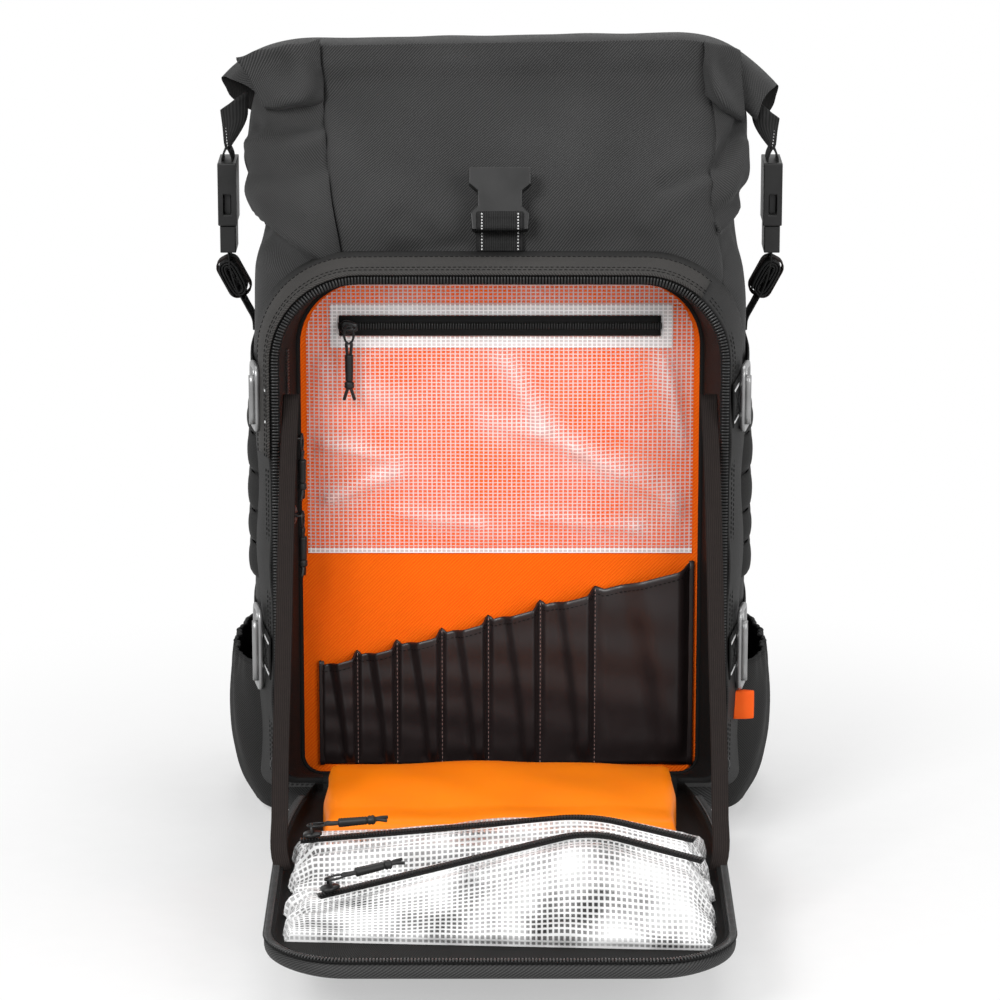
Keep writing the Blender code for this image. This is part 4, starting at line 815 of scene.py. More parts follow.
face_half = np.where(
    face_x < 0, follow(face_z, SIDE_LEVELS, LEFT_SIDE), follow(face_z, SIDE_LEVELS, RIGHT_SIDE))
face_half = np.where(face_z > MOUTH, MOUTH_HALF, face_half)
_, _, face_corner = section(np.minimum(face_z, MOUTH))
over = np.clip(np.abs(face_x) - face_half + face_corner, 0.0, face_corner)
face_y = -follow(face_z, FACE_LEVELS, FACE_REACH) + face_corner - np.sqrt(face_corner ** 2 - over ** 2)
tilt = CREASE_TILT * face_x * smoothstep(face_z, COLLAR_FOOT, CREASE)
face = stacked(face_x, face_y, hang(face_z, face_x) + tilt)
edge = np.minimum(face_share, 1 - face_share) * (right_edge - left_edge)
face_push = soft_waves(face_x, face_z, 0.0014) - 0.0016 * np.exp(-(edge / 0.0030) ** 2)
for start, end, width, depth in FACE_FOLDS:
    face_push = face_push + fold(face_x, face_z, start, end, width, FACE_DEEPER * depth)
behind_wall = smoothstep(0.394 - face_z, 0.0, 0.007) * smoothstep(0.139 - np.abs(face_x), 0.0, 0.004)
face_push = face_push * smoothstep(CREASE - face_z, -0.001, 0.012) * (1 - behind_wall) - 0.004 * behind_wall
front_face = piece(
    "front_face", skin(puff(face, face_push)), BALLISTIC,
    COLLAR_BLEND,
    thick=0.0018)


def rounded(half, low, high, top_round, low_round, corner_steps=14, edge_steps=26):
    """Round-cornered rectangle as closed points, counter-clockwise from its lower right corner."""
    parts = []
    corners = (
        (half - low_round, low + low_round, low_round, -90),
        (half - top_round, high - top_round, top_round, 0),
        (top_round - half, high - top_round, top_round, 90),
        (low_round - half, low + low_round, low_round, 180),
    )
    for index, (a, b, radius, start) in enumerate(corners):
        angle = np.radians(start + 90 * np.linspace(0, 1, corner_steps))
        arc = np.stack([a + radius * np.cos(angle), b + radius * np.sin(angle)], -1)
        after = corners[(index + 1) % 4]
        turn = math.radians(after[3])
        goal = np.array([after[0] + after[2] * math.cos(turn), after[1] + after[2] * math.sin(turn)])
        share = np.linspace(0, 1, edge_steps + 1)[1:-1, None]
        parts += [arc, arc[-1] + (goal - arc[-1]) * share]
    return np.concatenate(parts)


base_line = rounded(0.1535, -0.0975, 0.0815, CORNER, CORNER)
base_middle = np.array([0.0, -0.008])
base_shares = np.array([1.0, 0.97, 0.9, 0.6, 0.25])[:, None, None]
base_plan = base_middle + (base_line - base_middle) * base_shares
piece(
    "base_panel",
    skin(stacked(base_plan[..., 0], base_plan[..., 1], 0.0002), ring=True, caps="end", flip=True),
    GUSSET, "bag", thick=0.0015)
print("bag cloth", len(bag_panel.data.polygons), len(front_face.data.polygons))

# %% [markdown]
# ## The roll
# The mouth is rolled over backwards and its ends are pulled down by the side buckles. A profile with
# a small step, the free edge of the wound cloth, is carried from tip to tip. A dark hollow is set
# into each open end, with a glimpse of the orange lining.

# %% Roll
ROLL_LOW = 0.5088
ROLL_DEPTH = 0.0450
ROLL_HEIGHT = 0.0290
ROLL_MIDDLE = -0.004
LEFT_CUT = 0.032
RIGHT_CUT = 0.016


def roll_rings(x, grow, turns=56):
    """Roll's profile at each x: a flattened round whose radius grows once round, like a spiral."""
    angle = np.arange(turns)[None, :] * math.tau / turns
    share = np.clip((np.abs(x) - ROLL_FLAT) / (ROLL_HALF - ROLL_FLAT), 0.0, 1.0)[:, None]
    spiral = 0.93 + 0.07 * (angle / math.tau)
    lump = 1 + 0.018 * np.sin(70 * x[:, None] + 2 * angle) + 0.012 * np.sin(131 * x[:, None] - 3 * angle)
    c, s = np.cos(angle - 0.9), np.sin(angle - 0.9)
    depth = ROLL_DEPTH / 2 * (1 - 0.22 * share ** 3) * grow[:, None]
    height = ROLL_HEIGHT / 2 * (1 - 0.10 * share ** 3) * grow[:, None]
    y = ROLL_MIDDLE + np.sign(c) * np.abs(c) ** 0.72 * depth * spiral * lump
    middle = ROLL_LOW + ROLL_HEIGHT / 2 - droop(x)[:, None] + CREASE_TILT * x[:, None]
    cut = np.where(x < 0, LEFT_CUT, RIGHT_CUT) * smoothstep(np.abs(x), 0.13, ROLL_HALF)
    slanted = x[:, None] - (np.sign(x) * cut)[:, None] * (0.5 - 0.38 * c - 0.33 * s)
    return stacked(slanted, y, middle + np.sign(s) * np.abs(s) ** 0.72 * height * spiral * lump)


roll = piece(
    "rolled_mouth",
    skin(roll_rings(np.linspace(-ROLL_HALF, ROLL_HALF, 111), np.ones(111)), ring=True, flip=True),
    BALLISTIC, "roll_top", ("roll_top",))
HOLLOW = np.array([0.0, 0.0015, 0.010, 0.022, 0.034])
HOLLOW_SIZE = np.array([1.0, 0.90, 0.85, 0.78, 0.62])
for side, sign in SIDES:
    inside = roll_rings(sign * (ROLL_HALF - HOLLOW), HOLLOW_SIZE)
    piece(side + "_roll_inside", skin(inside, ring=True, caps="end", flip=sign > 0), LINING, "roll_top")
    glimpse = roll_rings(
        sign * (ROLL_HALF - np.array([0.005, 0.009, 0.016])), np.array([0.855, 0.835, 0.800]))
    piece(side + "_roll_lining", skin(glimpse[:, 10:20], flip=sign > 0), ORANGE, "roll_top",
          thick=0.0006, inside=0.0)
print("roll", len(roll.data.polygons))

# %% [markdown]
# Beside the front face, the gusset cloth is pulled over the roll too. It stands off in a wing with a
# pit under the crease and a lip that hangs over the gusset. A net of control points, four from the seam
# to the tip and four from the crease to the underside, is smoothed both ways.

# %% Wings beside the roll
LEFT_WING = [
    [[-0.1229, -0.0285, 0.5372], [-0.1386, -0.0285, 0.5344], [-0.1572, -0.0275, 0.5315],
     [-0.1802, -0.0220, 0.5237]],
    [[-0.1224, -0.0300, 0.5224], [-0.1359, -0.0340, 0.5212], [-0.1500, -0.0290, 0.5205],
     [-0.1715, -0.0300, 0.5116]],
    [[-0.1211, -0.0305, 0.5108], [-0.1348, -0.0500, 0.5030], [-0.1487, -0.0500, 0.5015],
     [-0.1625, -0.0400, 0.4964]],
    [[-0.1209, -0.0365, 0.4999], [-0.1346, -0.0420, 0.4965], [-0.1480, -0.0400, 0.4944],
     [-0.1603, -0.0310, 0.4919]],
]
RIGHT_WING = [
    [[0.1393, -0.0285, 0.5365], [0.1475, -0.0285, 0.5351], [0.1558, -0.0270, 0.5321],
     [0.1637, -0.0220, 0.5279]],
    [[0.1401, -0.0300, 0.5251], [0.1475, -0.0340, 0.5231], [0.1549, -0.0310, 0.5163],
     [0.1656, -0.0300, 0.5085]],
    [[0.1409, -0.0310, 0.5127], [0.1485, -0.0480, 0.5058], [0.1566, -0.0460, 0.4983],
     [0.1670, -0.0340, 0.4898]],
    [[0.1412, -0.0360, 0.5036], [0.1490, -0.0420, 0.4984], [0.1577, -0.0400, 0.4917],
     [0.1674, -0.0280, 0.4832]],
]


def smooth_net(net, rows, columns):
    """Smooth surface through a net of control points, first down its columns, then along its rows."""
    net = np.asarray(net, float)
    high, wide = net.shape[:2]
    down = follow(np.linspace(0, high - 1, rows), np.arange(high), net.reshape(high, -1))
    turned = down.reshape(rows, wide, 3).transpose(1, 0, 2).reshape(wide, -1)
    along = follow(np.linspace(0, wide - 1, columns), np.arange(wide), turned)
    return along.reshape(columns, rows, 3).transpose(1, 0, 2)


for side, net, flip in (("left", LEFT_WING, True), ("right", RIGHT_WING, False)):
    net = np.asarray(net)
    over = net[:1] + np.array([0.0, 0.0100, -0.0040])
    tuck = net[-1:] + np.array([0.0, 0.0120, -0.0030])
    wing = smooth_net(np.concatenate([over, net, tuck]), 48, 30)
    ripple = 0.0007 * np.sin(260 * wing[..., 0] + 120 * wing[..., 2])
    piece(side + "_wing", skin(puff(wing, ripple), flip=flip), BALLISTIC,
          COLLAR_BLEND, thick=0.0014)

# %% [markdown]
# ## The front compartment
# A lined wall stands out from the bag round the opening. Its outside flares towards the bag, its
# inside is black lining. A stitched rain flap lies over the top, and the coil zip runs round the rim.

# %% Compartment wall
OPEN_HALF = 0.149
OPEN_LOW = 0.055
OPEN_TOP = 0.400
OPEN_ROUND = 0.056
LOW_ROUND = 0.014
RIM = 0.0045
FACE_Y = -0.1653
WALL_Y = -0.1003
STRAP_LEVELS = (0.313, 0.137)


def opening(grow, sink=0.0):
    """Outline of the opening, grown all round, with its foot lowered by sink."""
    return rounded(OPEN_HALF + grow, OPEN_LOW - grow - sink, OPEN_TOP + grow, OPEN_ROUND + grow, LOW_ROUND)


def ring_between(near, far, y_near, y_far, rows, bulge=0.0):
    """Rings from one outline to another, bowed out in the middle by a sine."""
    t = np.linspace(0.0, 1.0, rows)[:, None, None]
    flat = near + (far - near) * t
    middle = near.mean(axis=0)
    flat = flat + unit(flat - middle) * bulge * np.sin(math.pi * t)
    return stacked(flat[..., 0], y_near + (y_far - y_near) * t[..., 0], flat[..., 1])


WALL_NEAR = opening(RIM)
WALL_FAR = rounded(OPEN_HALF + 0.017, OPEN_LOW - 0.029, OPEN_TOP + 0.0065, OPEN_ROUND + 0.010, LOW_ROUND)
WALL_BULGE = 0.0016


def wall_row(t, swell, first, last):
    """Part of the wall's outside at a share t of its depth, stood off by swell."""
    flat = WALL_NEAR + (WALL_FAR - WALL_NEAR) * t
    flat = flat + unit(flat - WALL_NEAR.mean(axis=0)) * (WALL_BULGE * math.sin(math.pi * t) + swell)
    return stacked(flat[first:last, 0], FACE_Y + (WALL_Y - FACE_Y) * t, flat[first:last, 1])


outer_wall = ring_between(WALL_NEAR, WALL_FAR, FACE_Y, WALL_Y, 22, WALL_BULGE)
squeeze = sum(np.exp(-((outer_wall[..., 2] - level) / 0.016) ** 2) for level in STRAP_LEVELS)
sides_only = smoothstep(np.abs(outer_wall[..., 0]), 0.145, 0.152)
outer_wall[..., 0] -= np.sign(outer_wall[..., 0]) * 0.0010 * squeeze * sides_only
outer_wall[..., 0] += np.sign(outer_wall[..., 0]) * 0.0012 * np.sin(70 * outer_wall[..., 2]) * sides_only
compartment = piece(
    "compartment_wall", skin(outer_wall, ring=True, flip=True), GUSSET, "bag",
    ("front_compartment",), thick=0.0012)
inner_line = rounded(0.1378, 0.0354, 0.3873, 0.0448, LOW_ROUND)
inner_wall = ring_between(opening(0.0008), inner_line, FACE_Y, -0.1008, 18, -0.0010)
piece("compartment_lining", skin(inner_wall, ring=True), LINING, "bag")
rim_rings = np.stack([
    stacked(opening(RIM)[:, 0], FACE_Y + 0.0005, opening(RIM)[:, 1]),
    stacked(opening(RIM - 0.0006)[:, 0], FACE_Y - 0.0004, opening(RIM - 0.0006)[:, 1]),
    stacked(opening(0.0016)[:, 0], FACE_Y - 0.0006, opening(0.0016)[:, 1]),
    stacked(opening(0.0008)[:, 0], FACE_Y + 0.0004, opening(0.0008)[:, 1])])
piece("zip_rim", skin(rim_rings, ring=True, flip=True), ZIP_TAPE, "bag")

# %% Rain flap
FLAP_FIRST, FLAP_LAST = 46, 98


def flap_row(t, swell=0.0):
    """The flap covers the wall's head and both upper corners, arched a little between its edges."""
    return wall_row(t, 0.0014 + 0.0010 * math.sin(math.pi * t / 0.6) + swell, FLAP_FIRST, FLAP_LAST)


lip_rows = [flap_row(0.0, swell) + np.array([0.0, ahead, 0.0])
            for swell, ahead in ((-0.0008, -0.0043), (0.0008, -0.0035), (0.0010, 0.0013))]
flap_rows = lip_rows + [flap_row(t) for t in np.linspace(0.0, 0.60, 12)[1:]]
piece("rain_flap_cloth", skin(np.stack(flap_rows), flip=True), EAVE, "bag",
                  ("rain_flap",), thick=0.0012)
flap_seams = [stitches(flap_row(t, 0.0002), (0, 0, 1)) for t in (0.06, 0.13, 0.55)]
piece("rain_flap_stitching", flap_seams, BLACK_THREAD, "bag")

# %% Main zip
ZIP_HALF = 0.150
ZIP_FOOT = 0.061
ZIP_TOP = 0.401
ZIP_ROUND = 0.057


def arch(half, foot, top, radius):
    """Upright arch from its right foot over the top to its left foot."""
    angle = np.linspace(0.0, math.pi / 2, 24)
    right = np.stack([half - radius + radius * np.cos(angle), top - radius + radius * np.sin(angle)], -1)
    left = right[::-1] * [-1, 1]
    return np.concatenate([[[half, foot]], right, left, [[-half, foot]]])


zip_line = spaced(stacked(arch(ZIP_HALF, ZIP_FOOT, ZIP_TOP, ZIP_ROUND)[:, 0], -0.1674,
                          arch(ZIP_HALF, ZIP_FOOT, ZIP_TOP, ZIP_ROUND)[:, 1]), step=0.002)
piece("main_zip_teeth", zip_chain(zip_line, (0, -1, 0), 0.0050), TEETH, "bag", ("main_zip",))
tape_line = zip_line + np.array([0.0, 0.0013, 0.0])
piece("main_zip_tape", ribbon(tape_line, 0.0066, 0.0008, (0, -1, 0)), ZIP_TAPE, "bag")
wall_seams = [stitches(wall_row(t, 0.0002, first, last), (1, 0, 0))
              for t in (0.10, 0.21) for first, last in ((8, 46), (98, 136))]
piece("compartment_stitching", wall_seams, BLACK_THREAD, "bag")
print("compartment", len(compartment.data.polygons))

# %% [markdown]
# ## The organiser wall
# An orange twill wall closes the back of the compartment. On it sit a clear vinyl pocket with a net
# inside the film and a strip of graded tool pockets. The wall and the vinyl are flat cut sheets, so
# their maps are simply width and height.


def disc(line, shares):
    """Rings from an outline towards its middle."""
    middle = (line.min(axis=0) + line.max(axis=0)) / 2
    return middle + (line - middle) * np.asarray(shares)[:, None, None]


WALL_FRONT = -0.1022
wall_line = rounded(0.1375, 0.036, 0.387, 0.0445, LOW_ROUND)
wall_plan = disc(wall_line, [1.0, 0.985, 0.96, 0.92, 0.86, 0.78, 0.68, 0.57, 0.45, 0.33, 0.2, 0.08])
wall_wave = soft_waves(wall_plan[..., 0] * 0.6, wall_plan[..., 1] * 0.7, 0.00035)
wall_sheet = skin(
    stacked(wall_plan[..., 0], WALL_FRONT - wall_wave, wall_plan[..., 1]), ring=True, caps="end")
orange_wall = piece("orange_wall_cloth", mapped(wall_sheet, 0, 2), ORANGE, "bag",
                    ("orange_wall",), thick=0.0010)
binding = stacked(wall_line[:, 0], -0.1026, wall_line[:, 1])
piece("wall_binding", sweep(binding, round_profile(0.0040, 0.0022, 8), (0, -1, 0), loop=True), LINING, "bag")

POCKET_HALF = 0.1315
POCKET_LOW = 0.1960
POCKET_TOP = 0.3850
POCKET_ROUND = 0.0385
POCKET_ZIP = 0.3560
VINYL_DEEPER = 1.5
GLARE_WIDER = 1.5
GLARE_STRENGTH = 120
GLARE_MOST = 0.6
VINYL_FOLDS = (
    ((0.002, 0.337), (0.029, 0.284), 0.0060, 0.0022),
    ((0.012, 0.330), (0.040, 0.290), 0.0050, -0.0012),
    ((0.110, 0.337), (0.128, 0.274), 0.0055, 0.0022),
    ((0.098, 0.330), (0.108, 0.290), 0.0060, -0.0012),
    ((-0.008, 0.291), (0.053, 0.270), 0.0060, 0.0016),
    ((0.053, 0.270), (0.127, 0.228), 0.0065, 0.0024),
    ((0.080, 0.272), (0.127, 0.250), 0.0050, -0.0010),
    ((-0.126, 0.274), (-0.072, 0.263), 0.0050, 0.0020),
    ((-0.116, 0.235), (-0.072, 0.2525), 0.0055, 0.0020),
    ((-0.069, 0.224), (-0.015, 0.217), 0.0050, 0.0016),
    ((0.026, 0.221), (0.093, 0.214), 0.0050, 0.0018),
    ((-0.120, 0.320), (-0.060, 0.300), 0.0090, 0.0010),
)
vinyl_z = np.linspace(POCKET_LOW, POCKET_TOP, 110)[:, None]
vinyl_over = np.clip(vinyl_z - POCKET_TOP + POCKET_ROUND, 0.0, POCKET_ROUND)
vinyl_half = POCKET_HALF - POCKET_ROUND + np.sqrt(POCKET_ROUND ** 2 - vinyl_over ** 2)
vinyl_share = np.linspace(-1.0, 1.0, 150)[None, :]
vinyl_x = vinyl_half * vinyl_share
slack = smoothstep(1 - np.abs(vinyl_share), 0.0, 0.10) * smoothstep(vinyl_z, POCKET_LOW, POCKET_LOW + 0.012)
slack = slack * smoothstep(POCKET_ZIP - 0.012 - vinyl_z, 0.0, 0.014)
vinyl_push = (
    0.0014 + 0.0006 * np.sin(38 * vinyl_x - 20 * vinyl_z)
    + soft_waves(vinyl_x * 1.6, vinyl_z * 1.5, 0.0004))
for start, end, width, depth in VINYL_FOLDS:
    vinyl_push = vinyl_push + fold(vinyl_x, vinyl_z, start, end, width, VINYL_DEEPER * depth)
vinyl_sheet = skin(stacked(vinyl_x, -0.1036 - slack * vinyl_push, vinyl_z))
clear_pocket = piece("clear_pocket_vinyl", mapped(vinyl_sheet, 0, 2), CLEAR, "bag",
                     ("clear_pocket",))
# Painted glare: white cover painted along the raised folds and broken up along them, standing in for the
# lamps' reflection in the film.
glare = [fold(vinyl_x, vinyl_z, start, end, GLARE_WIDER * width, GLARE_STRENGTH * depth)
         for start, end, width, depth in VINYL_FOLDS if depth > 0]
broken = 0.55 + 0.45 * np.sin(90 * vinyl_x + 2) * np.sin(120 * vinyl_z + 40 * vinyl_x)
vinyl_painted_glare = slack * broken * sum(glare)
painted_glare = clear_pocket.data.attributes.new("painted_glare", "FLOAT", "POINT")
painted_glare.data.foreach_set("value", np.minimum(vinyl_painted_glare, GLARE_MOST).astype(np.float32).ravel())
pocket_line = rounded(POCKET_HALF, POCKET_LOW, POCKET_TOP, POCKET_ROUND, 0.0005)

zip_way = stacked(np.linspace(-0.109, 0.109, 60), -0.1050, POCKET_ZIP)
piece(
    "pocket_zip_tape", ribbon(zip_way, 0.0140, 0.0010, (0, -1, 0)), ZIP_TAPE, "bag",
    ("pocket_zip",))
piece("pocket_zip_teeth", zip_chain(zip_way + np.array([0, -0.0010, 0]), (0, -1, 0), 0.0046, 0.0018), TEETH,
      "bag")

# %% [markdown]
# The tool pockets are one strip of coated cloth, sewn down between them. Across a pocket the cloth
# stands off in a lopsided arch, fuller on the right, and a pleat takes up the slack at its foot. The
# top edge sags between the seams and comes to a point at each.

# %% Tool pockets
TOOL_SEAMS = np.array([-0.1243, -0.0984, -0.0710, -0.0400, -0.0080, 0.0278, 0.0655, 0.1325])
TOOL_TOPS = np.array([0.1186, 0.1263, 0.1338, 0.1422, 0.1515, 0.1623, 0.1723, 0.1905])
TOOL_FOOT = 0.0435
TOOL_BACK = -0.1032
TOOL_STAND = 0.0095
pocket_share = np.linspace(0.0, 1.0, 25)
tool_share = np.concatenate([np.tile(pocket_share[:-1], 7), [1.0]])
tool_index = np.concatenate([np.repeat(np.arange(7), 24), [6]])
tool_x = TOOL_SEAMS[tool_index] + tool_share * np.diff(TOOL_SEAMS)[tool_index]
tool_line = TOOL_TOPS[tool_index] + tool_share * np.diff(TOOL_TOPS)[tool_index]
near_seams = (1 - np.exp(-((1 - tool_share) / 0.07) ** 2)) * (1 - np.exp(-(tool_share / 0.05) ** 2))
tool_top = tool_line - 0.0034 * near_seams
tool_rise = np.linspace(0.0, 1.0, 44)[:, None]
pleat = 0.78 - 0.30 * tool_rise ** 1.5
flat_part = 0.30 * smoothstep(tool_share, 0.0, 0.12)
full_part = 0.70 * smoothstep(tool_share, pleat - 0.26, pleat + 0.02) * smoothstep(1 - tool_share, 0.0, 0.14)
tool_out = TOOL_STAND * (flat_part * smoothstep(1 - tool_share, 0.0, 0.14) + full_part)
tool_out = tool_out * smoothstep(tool_rise, -0.02, 0.14) * (0.85 + 0.15 * tool_rise)
pleat_groove = np.exp(-((tool_share - pleat + 0.16) / 0.07) ** 2)
tool_out = tool_out - 0.0022 * pleat_groove * (1 - smoothstep(tool_rise, 0.10, 0.75))
tool_out = np.maximum(tool_out + 0.0003 * np.sin(60 * tool_x + 25 * tool_rise) * near_seams, 0.0)
tool_z = TOOL_FOOT + (tool_top - TOOL_FOOT) * tool_rise
tool_sheet = stacked(tool_x[None, :] + 0 * tool_rise, TOOL_BACK - tool_out, tool_z)
tools = piece(
    "tool_pockets", skin(tool_sheet), TOOL_VINYL, "bag", ("tool_strip",), thick=0.0010)
hem_row = tool_sheet[-1] + np.array([0.0, -0.0004, -0.0050])
piece("tool_hem", stitches(hem_row, (0, -1, 0), 0.0020, 0.0032, 0.0005), BLACK_THREAD, "bag")
seam_lines = []
for seam, top in zip(TOOL_SEAMS[1:-1], TOOL_TOPS[1:-1]):
    line = stacked(seam, TOOL_BACK - 0.0006, np.linspace(TOOL_FOOT + 0.002, top - 0.003, 40))
    seam_lines.append(stitches(line, (0, -1, 0), 0.0016, 0.0030, 0.0005))
piece("tool_seams", seam_lines, PINK_THREAD, "bag")
ends = [ribbon(stacked(x, TOOL_BACK - 0.0010, np.linspace(TOOL_FOOT, top, 24)), 0.0035, 0.0012, (0, -1, 0))
        for x, top in ((TOOL_SEAMS[0] + 0.001, TOOL_TOPS[0]), (TOOL_SEAMS[-1] - 0.001, TOOL_TOPS[-1]))]
piece("tool_strip_ends", ends, TOOL_VINYL, "bag")
print("organiser", len(tools.data.polygons), len(clear_pocket.data.polygons))

# %% [markdown]
# ## Sliders and pulls
# A slider is a small shield on the teeth with a wire bail. Its pull is a wire link round the bail, a
# cord looped through it, a moulded sleeve over the cord and a knot with two cut ends.


# %% Sliders and pulls
def placed(shape, origin, ways):
    """Move a skin from local axes into the frame."""
    points, faces, maps = shape
    return np.asarray(origin) + points @ np.asarray(ways), faces, maps


def zip_slider(name, place, along, out, bar, size, body, stands_for=()):
    """Shield-shaped slider body and its bail, at the place where it sits on the teeth."""
    length, width, thick = size
    t = np.linspace(-0.5, 0.5, 9)
    spine = stacked(t * length, 0.0, 0.0006 + thick / 2)
    wide = np.array([0.55, 0.85, 0.97, 1.0, 0.96, 0.84, 0.70, 0.60, 0.40])
    tall = np.array([0.45, 0.85, 1.0, 1.0, 1.0, 1.0, 0.95, 0.80, 0.40])
    shield = sweep(spine, round_profile(width, thick, 14, 0.6), (0, 0, 1), np.stack([wide, tall], -1))
    half, rise = 0.0036, 0.0042
    foot = 0.0006 + thick - 0.0008
    bail = np.array([[-half, 0, foot], [-half, 0, foot + 0.6 * rise], [-0.6 * half, 0, foot + rise + 0.0008],
                     [0.6 * half, 0, foot + rise + 0.0008], [half, 0, foot + 0.6 * rise], [half, 0, foot]])
    wire = tube(curve(bail, 19), 0.0017, (0, 1, 0))
    across = np.cross(out, along)
    shield = placed(shield, place, (along, across, out))
    wire = placed(wire, place, (bar, np.cross(out, bar), out))
    return piece(name, [shield, wire], SLIDER, body, stands_for)


def zip_pull(name, eye, hang, out, length, body, stands_for=()):
    """Wire link, sleeved cord, knot and two tails, hanging from the eye along hang."""
    side = np.cross(out, hang)
    turn = np.linspace(0, math.tau, 25)[:-1]
    link_path = stacked(0.0038 + 0.0062 * np.cos(turn), 0.0032 * np.sin(turn), 0.0)
    link = sweep(link_path, round_profile(0.0016, 0.0016, 8), (0, 0, 1), loop=True)
    sleeve_start, knot = 0.36 * length, 0.80 * length
    cords = []
    for sign in (-1, 1):
        loop = curve([[0.0088, sign * 0.0006, 0.0], [0.0098, sign * 0.0016, 0.0003],
                      [0.0130, sign * 0.0015, 0.0], [sleeve_start + 0.002, sign * 0.0010, 0.0]], 13)
        cords.append(tube(loop, 0.0022))
        tail = curve([[knot, 0.0, 0.0], [knot + 0.10 * length, sign * 0.0018, 0.0004],
                      [length + 0.001, sign * 0.0036, -0.0002]], 9)
        cords.append(tube(tail, 0.0023))
    along = np.linspace(sleeve_start, knot - 0.002, 25)
    ribs = 1 + 0.05 * np.sin(np.linspace(0, 10 * math.tau, 25))
    taper = np.linspace(1.0, 0.86, 25) * ribs
    taper[[0, -1]] *= 0.72
    cords.append(tube(stacked(along, 0.0, 0.0), 0.0060, turns=12, scale=np.stack([taper, taper], -1)))
    lump = np.array([0.35, 0.85, 1.05, 0.92, 1.08, 0.9, 0.4])
    ball = stacked(np.linspace(knot - 0.003, knot + 0.0034, 7), 0.0, 0.0)
    cords.append(tube(ball, 0.0066, turns=12, scale=np.stack([lump, lump * 0.9], -1)))
    ways = (hang, side, out)
    piece(name + "_link", placed(link, eye, ways), SLIDER, body)
    return piece(name, [placed(part, eye, ways) for part in cords], PULL, body, stands_for)


AHEAD = np.array([0.0, -1.0, 0.0])
BACKWARD = np.array([0.0, 1.0, 0.0])
RIGHT = np.array([1.0, 0.0, 0.0])
UP = np.array([0.0, 0.0, 1.0])
SMALL = (0.0120, 0.0100, 0.0035)
BIG = (0.0140, 0.0125, 0.0040)
EYE_RISE = 0.0083
zip_slider("pocket_zip_slider", (-0.102, -0.1074, 0.356), RIGHT, AHEAD, RIGHT, SMALL, "pocket_slider",
           ("pocket_slider",))
zip_pull("pocket_zip_pull", (-0.102, -0.1157, 0.356), -UP, AHEAD, 0.048, "pocket_pull", ("pocket_pull",))
for side, sign in SIDES:
    zip_slider(
        side + "_zip_slider", (sign * 0.150, -0.1686, 0.068), UP, AHEAD, RIGHT, BIG,
        side + "_main_slider", (side + "_main_slider",))
    zip_pull(side + "_zip_pull", (sign * 0.150, -0.1774, 0.068), -UP, AHEAD, 0.040, side + "_main_pull",
             (side + "_main_pull",))

# %% [markdown]
# ## The drop-down panel
# The panel is a shallow padded tray. Its outside is the bag's twill, its inside black lining, and half
# of the zip runs round its rim. Distances on it are measured from the hinge line: across, out from the
# hinge, and up from the zip's plane.

# %% Panel shell
HINGE = np.array([0.0, -0.1689, 0.0520])
PANEL_HALF = 0.1432
PANEL_LONG = 0.3422
PANEL_ROUND = 0.0502
PANEL_FLOOR = -0.0067


def on_panel(x, out, rise):
    """Place on the panel: across, out from the hinge, up from the zip's plane."""
    return stacked(HINGE[0] + x, HINGE[1] - out, HINGE[2] + rise)


def panel_half(out):
    return PANEL_HALF - 0.018 * np.maximum(0.0, 1 - out / 0.14) ** 2


side_out = np.linspace(0.0003, PANEL_LONG - PANEL_ROUND, 34)[:-1]
turn_angle = np.radians(np.linspace(0, 90, 18))
edge_right = np.concatenate([
    np.stack([panel_half(side_out), side_out], -1),
    np.stack([PANEL_HALF - PANEL_ROUND + PANEL_ROUND * np.cos(turn_angle),
              PANEL_LONG - PANEL_ROUND + PANEL_ROUND * np.sin(turn_angle)], -1)])
front_run = np.linspace(1, -1, 24)[1:-1, None] * [PANEL_HALF - PANEL_ROUND, 0] + [0, PANEL_LONG]
hinge_run = np.linspace(-1, 1, 26)[1:-1, None] * [panel_half(0.0), 0] + [0, 0.0003]
PANEL_LINE = np.concatenate([edge_right, front_run, edge_right[::-1] * [-1, 1], hinge_run])
line_slope = np.roll(PANEL_LINE, -1, axis=0) - np.roll(PANEL_LINE, 1, axis=0)
PANEL_OUT = unit(np.stack([line_slope[:, 1], -line_slope[:, 0]], -1))
EDGE_FREE = smoothstep(PANEL_LINE[:, 1], 0.0, 0.05)
EDGE_FRONT = smoothstep(PANEL_LINE[:, 1], 0.215, 0.250)


def panel_ring(grow, rise):
    """The panel's outline, grown outwards except at the hinge, at one height."""
    plan = PANEL_LINE + PANEL_OUT * (grow * EDGE_FREE)[:, None]
    return on_panel(plan[:, 0], plan[:, 1], rise)


SHELL_RINGS = (
    (0.0002, 0.0050, -0.0008), (0.0002, 0.0082, -0.0030), (0.0002, 0.0090, -0.0055),
    (0.0008, 0.0086, -0.0085), (0.0022, 0.0074, -0.0108), (0.0020, 0.0050, -0.0128),
    (0.0005, 0.0010, -0.0142),
)
EDGE_CORNER = EDGE_FRONT * smoothstep(np.abs(PANEL_LINE[:, 0]), 0.095, 0.138)
shell_rings = [
    panel_ring(
        rear + (front * (1 - 0.7 * EDGE_CORNER) - rear) * EDGE_FRONT, rise * (1 - 0.34 * EDGE_FRONT))
    for rear, front, rise in SHELL_RINGS]
under_share = np.linspace(0.97, 0.10, 14)
under = disc(PANEL_LINE, under_share)
under_drop = -0.0153 + (0.0011 + 0.0048 * EDGE_FRONT) * under_share[:, None] ** 8
shell_rings = np.concatenate(
    [[panel_ring(0.0002, 0.0)], shell_rings, on_panel(under[..., 0], under[..., 1], under_drop)])
hinge_lift = 0.0052 * (1 - smoothstep(-(shell_rings[..., 1] - HINGE[1]), 0.004, 0.05))
deep = smoothstep(HINGE[2] - shell_rings[..., 2], 0.006, 0.012)
shell_rings[..., 2] += hinge_lift * deep
